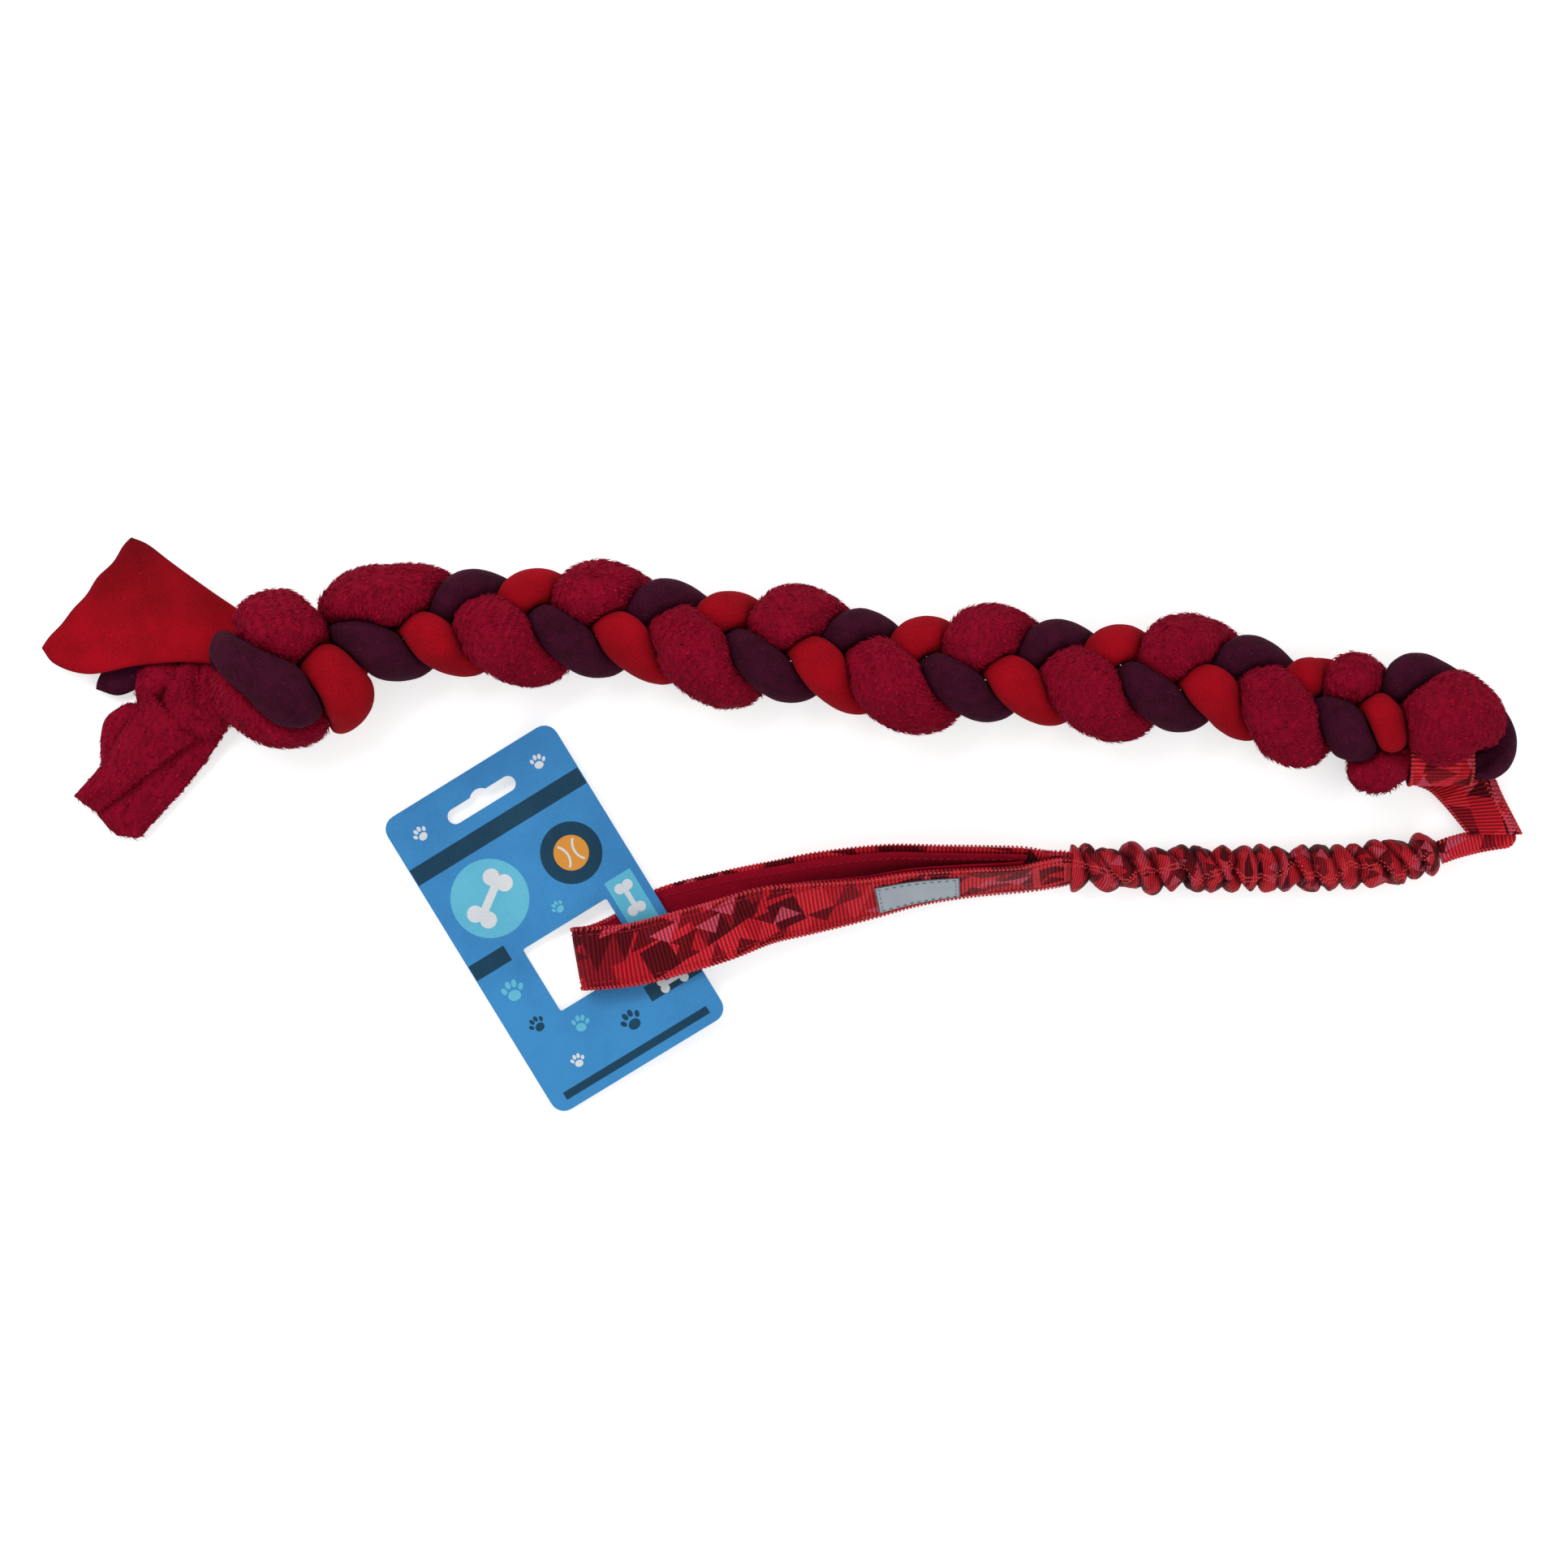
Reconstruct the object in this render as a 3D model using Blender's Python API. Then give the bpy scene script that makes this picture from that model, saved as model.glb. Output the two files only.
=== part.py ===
"""Bungee tug toy: a three strand fleece plait, knotted at one end, on a gathered
bungee lead with a lined webbing handle and its hang card.

Metres, +Z up. The toy lies flat, and the origin is on the floor under the middle
of its outline. The plait runs along X with its knot and tails at -X.
"""

import math

import bmesh
import bpy
import numpy as np

for old in list(bpy.data.objects):
    bpy.data.objects.remove(old, do_unlink=True)

# Driving dimensions
GRID = 0.100  # side of the squares that the loose parts are laid out on
GAP = 0.0003  # clearance between pieces that touch
FLOOR_FLAT = 0.0005  # how deep the soft pieces are pressed flat where they lie

BRAID_PITCH = 0.080  # length in which one strand weaves once across and back
BRAID_SWING = 0.0098  # how far a strand's centre goes to each side
BRAID_LIFT = 0.0066  # how far it goes over and under
BRAID_ROLL = math.radians(-24)
BRAID_HEIGHT = 0.0195  # the plait's own axis above the floor
PLUSH_RADIUS = 0.0155
RED_RADIUS = 0.0118
PURPLE_RADIUS = 0.0122
KNOT_SWELL = 1.12  # how much fuller the strands are in the knot
STRAND_STEP = 0.0062  # distance between a strand's rings
STRAND_SIDES = 12
STRAND_CLEARANCE = 0.0020

WEBBING_WIDTH = 0.026
WEBBING_THICKNESS = 0.0016
LINING_THICKNESS = 0.0020
LINING_INSET = 0.0015  # the lining stops short of each selvedge
THREAD = 0.0009

LOOP_HALF_DEPTH = 0.0092  # webbing band round the bight, along Y
LOOP_HALF_HEIGHT = 0.0107
LOOP_AXIS_HEIGHT = 0.0158

LEAD_WIDTH = 0.0095
LEAD_THICKNESS = 0.0034
LEAD_REST = 0.0005

BUNGEE_LENGTH = 0.143
BUNGEE_RADIUS = 0.0098
BUNGEE_FOLDS = 17
BUNGEE_FOLD_DEPTH = 0.0021
BUNGEE_WALL = 0.0022
ELASTIC_WIDTH = 0.0090
ELASTIC_THICKNESS = 0.0040

CARD_WIDTH = 0.083
CARD_HEIGHT = 0.142
CARD_THICKNESS = 0.0008
CARD_TURN = math.radians(31.5)
CARD_CORNER = 0.006
WINDOW_WIDTH = 0.041
WINDOW_HEIGHT = 0.030
WINDOW_FROM_LEFT = 0.0235
SLOT_WIDTH = 0.0325
SLOT_HEIGHT = 0.0065
SLOT_BUMP = 0.0100

LABEL_LENGTH = 0.034
LABEL_INSET = 0.00475  # from each selvedge of the webbing
LABEL_WIDTH = WEBBING_WIDTH - 2 * LABEL_INSET
LABEL_THICKNESS = 0.0005


def material(name, colour, roughness=0.9, metallic=0.0):
    made = bpy.data.materials.new(name)
    made.use_nodes = True
    shader = made.node_tree.nodes["Principled BSDF"]
    shader.inputs["Base Color"].default_value = (*colour, 1)
    shader.inputs["Roughness"].default_value = roughness
    shader.inputs["Metallic"].default_value = metallic
    return made


PLUSH = material("plush", (0.42, 0.005, 0.05))
RED_FLEECE = material("red fleece", (0.50, 0.004, 0.01))
PURPLE_FLEECE = material("purple fleece", (0.055, 0.006, 0.045))
WEBBING = material("printed webbing", (0.60, 0.02, 0.05), 0.7)
LINING = material("lining fleece", (0.30, 0.002, 0.02))
THREAD_RED = material("thread", (0.45, 0.02, 0.03), 0.6)
RUBBER = material("elastic", (0.10, 0.01, 0.015), 0.6)
LABEL_GREY = material("label", (0.45, 0.50, 0.55), 0.6)
CARD_BLUE = material("card", (0.06, 0.30, 0.62), 0.35)


def on_grid(shares):
    """Places in metres from a table of places in squares of the layout grid."""
    return np.array(shares, float) * GRID


def curve_through(points, step):
    """An even run of points, a step apart, on a smooth curve through the given ones."""
    points = np.asarray(points, float)
    padded = np.vstack([2 * points[0] - points[1], points, 2 * points[-1] - points[-2]])
    fine = []
    for a, b, c, d in zip(padded, padded[1:], padded[2:], padded[3:]):
        for t in np.linspace(0, 1, 24, endpoint=False):
            fine.append(0.5 * (2 * b + (c - a) * t + (2 * a - 5 * b + 4 * c - d) * t**2
                               + (3 * b - a - 3 * c + d) * t**3))
    fine.append(points[-1])
    fine = np.array(fine)
    run = np.r_[0, np.cumsum(np.linalg.norm(np.diff(fine[:, :3], axis=0), axis=1))]
    count = max(3, int(round(run[-1] / step)) + 1)
    at = np.linspace(0, run[-1], count)
    return np.stack([np.interp(at, run, fine[:, i]) for i in range(fine.shape[1])], axis=1)


def add_object(name, verts, faces, surface, smooth=True):
    mesh = bpy.data.meshes.new(name)
    mesh.from_pydata([tuple(v) for v in verts], [], faces)
    work = bmesh.new()
    work.from_mesh(mesh)
    bmesh.ops.recalc_face_normals(work, faces=work.faces)
    if work.calc_volume(signed=True) < 0:
        bmesh.ops.reverse_faces(work, faces=work.faces)
    work.to_mesh(mesh)
    work.free()
    mesh.materials.append(surface)
    obj = bpy.data.objects.new(name, mesh)
    bpy.context.collection.objects.link(obj)
    if smooth:
        mesh.shade_smooth()
        mesh.set_sharp_from_angle(angle=math.radians(40))
    return obj


def loft(name, rings, surface, closed=False, smooth=True):
    """A solid through rings of equal point counts, with its two ends filled, or joined
    to each other where it is closed."""
    sides = len(rings[0])
    verts = [p for ring in rings for p in ring]
    faces = []
    count = len(rings)
    for i in range(count if closed else count - 1):
        here, there = i * sides, ((i + 1) % count) * sides
        for j in range(sides):
            k = (j + 1) % sides
            faces.append((here + j, here + k, there + k, there + j))
    if not closed:
        faces.append(tuple(range(sides)))
        faces.append(tuple((count - 1) * sides + j for j in reversed(range(sides))))
    return add_object(name, verts, faces, surface, smooth)


# Plait

# The plait's axis, in squares of the grid
BRAID_AXIS_SHARES = ((-1.95, 0.80), (-1.78, 0.813), (-1.22, 0.84), (-0.88, 0.847),
                     (-0.547, 0.813), (-0.213, 0.75), (0.12, 0.727), (0.453, 0.643),
                     (0.787, 0.657), (1.12, 0.633), (1.453, 0.61), (1.787, 0.613),
                     (2.12, 0.497), (2.453, 0.43), (2.72, 0.43))
BRAID_START_X = on_grid(-0.287)


def braid_point(x, third):
    """The centre of one strand of the plait at a place along X."""
    axis = on_grid(BRAID_AXIS_SHARES)
    middle = np.interp(x, axis[:, 0], axis[:, 1])
    turn = 1.5 * math.pi + 2 * math.pi * ((x - BRAID_START_X) / BRAID_PITCH - third / 3)
    side = BRAID_SWING * math.sin(turn)
    lift = BRAID_LIFT * math.sin(2 * turn)
    across = side * math.cos(BRAID_ROLL) - lift * math.sin(BRAID_ROLL)
    up = side * math.sin(BRAID_ROLL) + lift * math.cos(BRAID_ROLL)
    return (x, middle + across, BRAID_HEIGHT + up)


# Each strand's way through the knot, from its tail to the plait, and round the
# bight, from the plait to its cut end: X, Y and Z in squares, then fullness
PLUSH_KNOT_SHARES = (
    (-2.311, 0.505, 0.10, 0.60), (-2.21, 0.545, 0.070, 0.48), (-2.12, 0.60, 0.05, 0.42),
    (-2.00, 0.64, 0.05, 0.45), (-1.90, 0.58, 0.09, 0.60), (-1.93, 0.50, 0.19, 0.80),
    (-2.05, 0.485, 0.25, 0.88), (-2.16, 0.53, 0.285, 0.84), (-2.205, 0.62, 0.25, 0.80),
    (-2.155, 0.70, 0.25, 1.0), (-2.07, 0.76, 0.28, 1.2), (-1.965, 0.76, 0.23, 1.0),
    (-1.885, 0.77, 0.13, 0.65), (-1.81, 0.82, 0.17, 0.85), (-1.71, 0.885, 0.215, 0.98),
    (-1.61, 0.895, 0.22, 1.0))
PURPLE_KNOT_SHARES = (
    (-2.275, 0.64, 0.10, 0.6), (-2.27, 0.73, 0.20, 0.7), (-2.205, 0.695, 0.355, 0.85),
    (-2.09, 0.61, 0.38, 1.05), (-1.99, 0.52, 0.35, 1.0), (-1.92, 0.56, 0.20, 0.7),
    (-1.885, 0.68, 0.13, 0.65), (-1.83, 0.79, 0.19, 0.85), (-1.73, 0.785, 0.26, 1.0),
    (-1.64, 0.74, 0.27, 1.0))
RED_KNOT_SHARES = (
    (-2.255, 0.79, 0.14, 0.8), (-2.14, 0.72, 0.13, 0.8), (-2.02, 0.73, 0.15, 0.8),
    (-1.94, 0.70, 0.24, 0.95), (-1.86, 0.63, 0.31, 1.1), (-1.805, 0.55, 0.26, 1.05),
    (-1.835, 0.49, 0.14, 0.8), (-1.82, 0.58, 0.06, 0.6), (-1.77, 0.70, 0.06, 0.6),
    (-1.70, 0.83, 0.085, 0.7))
PLUSH_BIGHT_SHARES = (
    (2.22, 0.50, 0.15, 0.75), (2.27, 0.575, 0.225, 0.75), (2.34, 0.60, 0.25, 0.75),
    (2.41, 0.585, 0.18, 0.60), (2.48, 0.545, 0.09, 0.50), (2.58, 0.485, 0.19, 0.90),
    (2.71, 0.445, 0.29, 1.3), (2.83, 0.40, 0.26, 1.0), (2.87, 0.335, 0.205, 0.55),
    (2.82, 0.315, 0.185, 0.42),
    (2.70, 0.31, 0.18, 0.45), (2.57, 0.30, 0.19, 0.5), (2.49, 0.27, 0.19, 0.80),
    (2.41, 0.275, 0.17, 0.80), (2.35, 0.30, 0.13, 0.65))
PURPLE_BIGHT_SHARES = (
    (2.44, 0.42, 0.13, 0.7), (2.50, 0.53, 0.215, 0.75), (2.575, 0.60, 0.26, 0.95),
    (2.68, 0.59, 0.20, 0.80), (2.80, 0.54, 0.12, 0.65), (2.89, 0.46, 0.11, 0.7),
    (2.93, 0.365, 0.16, 0.75), (2.885, 0.285, 0.23, 0.85), (2.82, 0.245, 0.18, 0.5),
    (2.70, 0.235, 0.17, 0.5), (2.57, 0.23, 0.15, 0.5), (2.49, 0.22, 0.12, 0.6),
    (2.41, 0.22, 0.08, 0.6), (2.34, 0.25, 0.07, 0.6))
RED_BIGHT_SHARES = (
    (2.25, 0.605, 0.16, 0.75), (2.31, 0.56, 0.09, 0.60), (2.39, 0.515, 0.16, 0.65),
    (2.465, 0.44, 0.30, 1.0), (2.50, 0.36, 0.22, 0.85), (2.56, 0.38, 0.12, 0.7),
    (2.66, 0.45, 0.09, 0.7), (2.78, 0.47, 0.09, 0.7), (2.87, 0.44, 0.08, 0.7),
    (2.91, 0.35, 0.085, 0.6), (2.86, 0.275, 0.095, 0.5), (2.70, 0.27, 0.10, 0.45),
    (2.57, 0.29, 0.10, 0.45), (2.46, 0.33, 0.07, 0.5), (2.36, 0.35, 0.07, 0.5))
# Where each strand's plaited stretch begins and ends along X, in squares
PLAITED_SHARES = {"plush": (-1.50, 2.12), "purple": (-1.55, 2.37), "red": (-1.62, 2.20)}
LOOP_X_SHARES = (2.575, 2.835)
LOOP_Y_SHARE = 0.27


def strand_route(name, third, knot, bight):
    """Centres and fullness of one strand, from tail end to cut end."""
    knot, bight = np.array(knot), np.array(bight)
    knot_run = np.c_[knot[:, :3] * GRID, knot[:, 3] * KNOT_SWELL]
    low, high = on_grid(PLAITED_SHARES[name])
    count = int((high - low) / (BRAID_PITCH / 12))
    plaited = [(*braid_point(x, third), 1.0) for x in np.linspace(low, high, count)]
    bight_run = np.c_[bight[:, :3] * GRID, bight[:, 3]]
    return np.vstack([knot_run, plaited, bight_run])


def in_loop_webbing(points):
    """True where a point would touch the webbing band round the bight."""
    low, high = on_grid(LOOP_X_SHARES)
    y = (points[..., 1] - on_grid(LOOP_Y_SHARE)) / LOOP_HALF_DEPTH
    z = (points[..., 2] - LOOP_AXIS_HEIGHT) / LOOP_HALF_HEIGHT
    off = np.abs(np.sqrt(y**2 + z**2) - 1) * LOOP_HALF_DEPTH
    beside = STRAND_STEP * 0.7
    along = (points[..., 0] > low - beside) & (points[..., 0] < high + beside)
    return along & (off < WEBBING_THICKNESS / 2 + STRAND_CLEARANCE)


# Tails: the axis of each tail's root, its direction, and half its thickness
TAIL_ROOT_SHARES = {
    "red": ((-2.345, 0.775, 0.135), (-0.95, 0.31)),
    "plush": ((-2.335, 0.475, 0.10), (-0.62, -0.78)),
    "purple": ((-2.365, 0.71, 0.062), (-0.96, 0.28))}
TAIL_THICKNESS = 0.0062
TAIL_CLEARANCE = 0.0007
LIFT_ROOM = 0.0015  # kept clear above a tail's root, so that the tail can be lifted
TAIL_ROOT_HALF = {"red": 0.0100, "plush": 0.0105, "purple": 0.0085}


def in_tail_root(points):
    blocked = np.zeros(points.shape[:-1], bool)
    for name, (place, way) in TAIL_ROOT_SHARES.items():
        centre = on_grid(place)
        way = np.array((*way, 0.0)) / np.linalg.norm(way)
        across = np.array((way[1], -way[0], 0.0))
        off = points - centre
        side = np.clip(off @ across, -TAIL_ROOT_HALF[name], TAIL_ROOT_HALF[name])
        away = np.linalg.norm(off - side[..., None] * across, axis=-1)
        blocked |= away < TAIL_THICKNESS / 2 + TAIL_CLEARANCE
        ahead = (off @ way > -LIFT_ROOM) & (np.abs(off @ across) < 2 * TAIL_ROOT_HALF[name])
        blocked |= ahead
    return blocked


def frames_along(centres):
    """For each centre, two directions square to the line that turn as little as they can."""
    tangents = np.gradient(centres, axis=0)
    tangents /= np.linalg.norm(tangents, axis=1, keepdims=True)
    side = np.cross(tangents[0], (0, 0, 1))
    sides = []
    for tangent in tangents:
        side = side - tangent * (side @ tangent)
        side = side / np.linalg.norm(side)
        sides.append(side)
    sides = np.array(sides)
    return tangents, sides, np.cross(tangents, sides)


def strand_radii(own, own_radius, others, centres, run_at, run_own, directions):
    """How far each ray from a strand's centre goes before it meets its own full radius,
    another strand, another turn of itself, the floor, the band or a tail."""
    reach = own_radius_at(run_at, run_own, own_radius)
    result = np.zeros(directions.shape[:2])
    steps = np.linspace(0.12, 1.0, 34)
    stopped = np.zeros(result.shape, bool)
    for share in steps:
        length = reach[:, None] * share
        points = centres[:, None, :] + directions * length[..., None]
        flat = points.reshape(-1, 3)
        to_own = np.linalg.norm(flat[:, None, :] - own[None], axis=2) / own_radius[None]
        nearest = run_own[to_own.argmin(axis=1)].reshape(result.shape)
        blocked = np.abs(nearest - run_at[:, None]) > STRAND_STEP * 0.9
        for other, radius in others:
            gone = np.linalg.norm(flat[:, None, :] - other[None], axis=2)
            room = (gone / radius[None]).min(axis=1).reshape(result.shape) * reach[:, None]
            blocked |= length + STRAND_CLEARANCE / 2 > room - STRAND_CLEARANCE / 2
        blocked |= points[..., 2] < 0
        blocked |= in_loop_webbing(points) | in_tail_root(points)
        stopped |= blocked
        result = np.where(stopped, result, length)
    return np.maximum(result, reach[:, None] * steps[0])


def own_radius_at(run_at, run_own, own_radius):
    return np.interp(run_at, run_own, own_radius)


def make_strands():
    radii = {"plush": PLUSH_RADIUS, "purple": PURPLE_RADIUS, "red": RED_RADIUS}
    routes = {
        "plush": strand_route("plush", 0, PLUSH_KNOT_SHARES, PLUSH_BIGHT_SHARES),
        "purple": strand_route("purple", 1, PURPLE_KNOT_SHARES, PURPLE_BIGHT_SHARES),
        "red": strand_route("red", 2, RED_KNOT_SHARES, RED_BIGHT_SHARES)}
    fine = {}
    for name, route in routes.items():
        line = curve_through(route, STRAND_STEP / 4)
        run = np.r_[0, np.cumsum(np.linalg.norm(np.diff(line[:, :3], axis=0), axis=1))]
        fine[name] = (line[:, :3], line[:, 3] * radii[name], run)
    nodes = {"plush": ("strand_plush", PLUSH), "purple": ("strand_purple_fleece", PURPLE_FLEECE),
             "red": ("strand_red_fleece", RED_FLEECE)}
    for name, (own, own_radius, run) in fine.items():
        count = int(run[-1] / STRAND_STEP)
        run_at = np.linspace(0, run[-1], count)
        centres = np.stack([np.interp(run_at, run, own[:, i]) for i in range(3)], axis=1)
        tangents, sides, ups = frames_along(centres)
        turn = np.arange(STRAND_SIDES) * 2 * math.pi / STRAND_SIDES
        directions = (np.cos(turn)[None, :, None] * sides[:, None, :]
                      + np.sin(turn)[None, :, None] * ups[:, None, :])
        others = [(line, radius) for key, (line, radius, _) in fine.items() if key != name]
        reach = strand_radii(own, own_radius, others, centres, run_at, run, directions)
        around = (np.roll(reach, 1, axis=1) + np.roll(reach, -1, axis=1)) / 2
        along = np.vstack([reach[:1], (reach[2:] + reach[:-2]) / 2, reach[-1:]])
        reach = np.minimum(reach, np.minimum(around * 1.10, along * 1.20))
        ends = np.minimum(run_at, run[-1] - run_at) / (1.6 * STRAND_STEP)
        reach *= np.clip(0.45 + 0.55 * np.sqrt(np.clip(ends, 0, 1)), 0, 1)[:, None]
        rings = centres[:, None, :] + directions * reach[..., None]
        rings[..., 2] = np.maximum(rings[..., 2], 0)
        node, surface = nodes[name]
        loft(node, rings, surface)


make_strands()


# Tails

def flat_ring(edge_a, edge_b, middle_z, thickness):
    """One cross-section of a flattened strand end: eight points from edge to edge."""
    edge_a, edge_b = np.array((*edge_a, middle_z)), np.array((*edge_b, middle_z))
    ring = []
    for across, up in TAIL_SECTION_SHARES:
        point = edge_a + (edge_b - edge_a) * across
        point[2] += up * thickness
        ring.append(point)
    return ring


# Cross-section of a tail: share of its width, then of its thickness
TAIL_SECTION_SHARES = ((0, 0), (0.06, 0.36), (0.3, 0.5), (0.7, 0.5), (0.94, 0.36),
                       (1, 0), (0.94, -0.36), (0.7, -0.5), (0.3, -0.5), (0.06, -0.36))
# Behind the root's axis a tail is a half round: share of its half thickness, then of its thickness
ROOT_SHARES = ((-0.98, 0.14), (-0.78, 0.6), (-0.40, 0.9), (0, 1))
# Stations beyond the root: first edge X and Y, second edge X and Y, height, then thickness share
RED_TAIL_SHARES = (
    (-2.40, 1.00, -2.49, 0.685, 0.125, 1.0), (-2.53, 1.10, -2.66, 0.665, 0.115, 0.95),
    (-2.66, 1.185, -2.84, 0.64, 0.105, 0.9), (-2.74, 1.14, -2.98, 0.69, 0.085, 0.9),
    (-2.78, 1.10, -3.055, 0.745, 0.06, 0.8))
PLUSH_TAIL_SHARES = (
    (-2.53, 0.625, -2.31, 0.38, 0.095, 1.45), (-2.67, 0.56, -2.39, 0.27, 0.085, 1.5),
    (-2.77, 0.39, -2.47, 0.17, 0.07, 1.45), (-2.86, 0.20, -2.57, 0.055, 0.06, 1.4),
    (-2.91, 0.11, -2.67, -0.04, 0.05, 1.2))
PURPLE_TAIL_SHARES = (
    (-2.50, 0.85, -2.52, 0.68, 0.054, 1.0), (-2.66, 0.91, -2.67, 0.655, 0.045, 0.95),
    (-2.76, 0.86, -2.79, 0.575, 0.038, 0.9))


def make_tail(node, name, stations, surface):
    place, way = TAIL_ROOT_SHARES[name]
    centre = on_grid(place)
    way = np.array(way) / np.linalg.norm(way)
    across = np.array((-way[1], way[0])) * TAIL_ROOT_HALF[name]
    if across[1] < 0:
        across = -across
    rings = []
    for back, full in ROOT_SHARES:
        at = centre[:2] + way * back * TAIL_THICKNESS / 2
        rings.append(flat_ring(at + across, at - across, centre[2], TAIL_THICKNESS * full))
    for ax, ay, bx, by, z, full in stations:
        rings.append(flat_ring(on_grid((ax, ay)), on_grid((bx, by)), on_grid(z),
                               TAIL_THICKNESS * full))
    loft(node, rings, surface)


make_tail("tail_red", "red", RED_TAIL_SHARES, RED_FLEECE)
make_tail("tail_plush", "plush", PLUSH_TAIL_SHARES, PLUSH)
make_tail("tail_purple", "purple", PURPLE_TAIL_SHARES, PURPLE_FLEECE)


# Webbing pieces

def strip(name, line, surface, width, thickness, side=0.0, lift=0.0, spans=1):
    """A flat strip along a line of (centre, width direction, normal, fullness). A strip
    that twists has several spans across, so that layers of it stay clear of each other."""
    rings = []
    edge = [2 * i / spans - 1 for i in range(spans + 1)]
    section = [(a, -1) for a in edge] + [(a, 1) for a in edge[::-1]]
    for centre, across, normal, full in line:
        ring = []
        for a, b in section:
            off = (side + a * width / 2) * full
            ring.append(centre + across * off + normal * (lift + b * thickness / 2))
        rings.append(ring)
    return loft(name, rings, surface, smooth=False)


def bezel(name, at, surface, length, width, thread, lift):
    """A closed row of stitching round a rectangle on a strip. at(run, side, lift) gives
    a place on the strip."""
    corners = ((-1, -1), (1, -1), (1, 1), (-1, 1))
    path = []
    for (a, b), (c, d) in zip(corners, corners[1:] + corners[:1]):
        for t in np.arange(BEZEL_STEPS) / BEZEL_STEPS:
            path.append((a + (c - a) * t, b + (d - b) * t))
    rings = []
    for a, b in path:
        inner = np.array((a * (length / 2 - thread), b * (width / 2 - thread)))
        outer = np.array((a * length / 2, b * width / 2))
        rings.append([at(*inner, lift), at(*outer, lift),
                      at(*outer, lift + thread / 2), at(*inner, lift + thread / 2)])
    loft(name, rings, surface, closed=True, smooth=False)


BEZEL_STEPS = 4
UP = np.array((0.0, 0.0, 1.0))

# The band round the bight
LOOP_STEPS = 24


def make_loop_webbing():
    low, high = on_grid(LOOP_X_SHARES)
    rings = []
    for i in range(LOOP_STEPS):
        turn = 2 * math.pi * i / LOOP_STEPS
        ring = []
        for x, out in ((low, -1), (high, -1), (high, 1), (low, 1)):
            depth = LOOP_HALF_DEPTH + out * WEBBING_THICKNESS / 2
            height = LOOP_HALF_HEIGHT + out * WEBBING_THICKNESS / 2
            ring.append((x, on_grid(LOOP_Y_SHARE) + depth * math.cos(turn),
                         LOOP_AXIS_HEIGHT + height * math.sin(turn)))
        rings.append(ring)
    loft("loop_webbing", rings, WEBBING, closed=True, smooth=False)


make_loop_webbing()

# The connector: X, Y, width direction X and Y, share of the webbing's width
CONNECTOR_SHARES = ((2.745, 0.235, 0.90, 0.43, 1.0), (2.81, 0.20, 0.92, 0.39, 0.98),
                    (2.87, 0.105, 0.99, 0.12, 0.93), (2.95, -0.013, 1.0, 0.0, 0.86))
CONNECTOR_RISE = 0.0042  # from the floor to over the lead strip
CONNECTOR_GAP = 2 * GAP


def connector_line():
    line = []
    last = len(CONNECTOR_SHARES) - 1
    for i, (x, y, wx, wy, full) in enumerate(CONNECTOR_SHARES):
        across = np.array((wx, wy, 0.0)) / math.hypot(wx, wy)
        height = GAP + CONNECTOR_RISE * (i / last) ** 2
        line.append((np.array((x * GRID, y * GRID, height)), across, UP, full))
    return line


CONNECTOR = connector_line()
strip("connector_lower", CONNECTOR, WEBBING, WEBBING_WIDTH, WEBBING_THICKNESS,
      lift=WEBBING_THICKNESS / 2)
strip("connector_upper", CONNECTOR, WEBBING, WEBBING_WIDTH, WEBBING_THICKNESS,
      lift=1.5 * WEBBING_THICKNESS + CONNECTOR_GAP)
CONNECTOR_TOP = 2 * WEBBING_THICKNESS + CONNECTOR_GAP + GAP
strip("connector_stitching", CONNECTOR[1:], THREAD_RED, THREAD, THREAD / 2,
      side=WEBBING_WIDTH / 2 - 3 * THREAD, lift=CONNECTOR_TOP + THREAD / 4)
strip("connector_stitching_left", CONNECTOR[2:], THREAD_RED, THREAD, THREAD / 2,
      side=3 * THREAD - WEBBING_WIDTH / 2, lift=CONNECTOR_TOP + THREAD / 4)

# The lead strip, from its root under the connector's end
LEAD_SHARES = ((2.99, -0.055), (2.90, -0.062), (2.80, -0.082))
BUNGEE_AXIS_SHARES = ((1.24, -0.17), (1.80, -0.172), (2.30, -0.166), (2.54, -0.138), (2.67, -0.115))
BUNGEE_AXIS_HEIGHT = BUNGEE_RADIUS - FLOOR_FLAT
TACK_LENGTH = 0.0030
TACK_RADIUS = 0.0056


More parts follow.
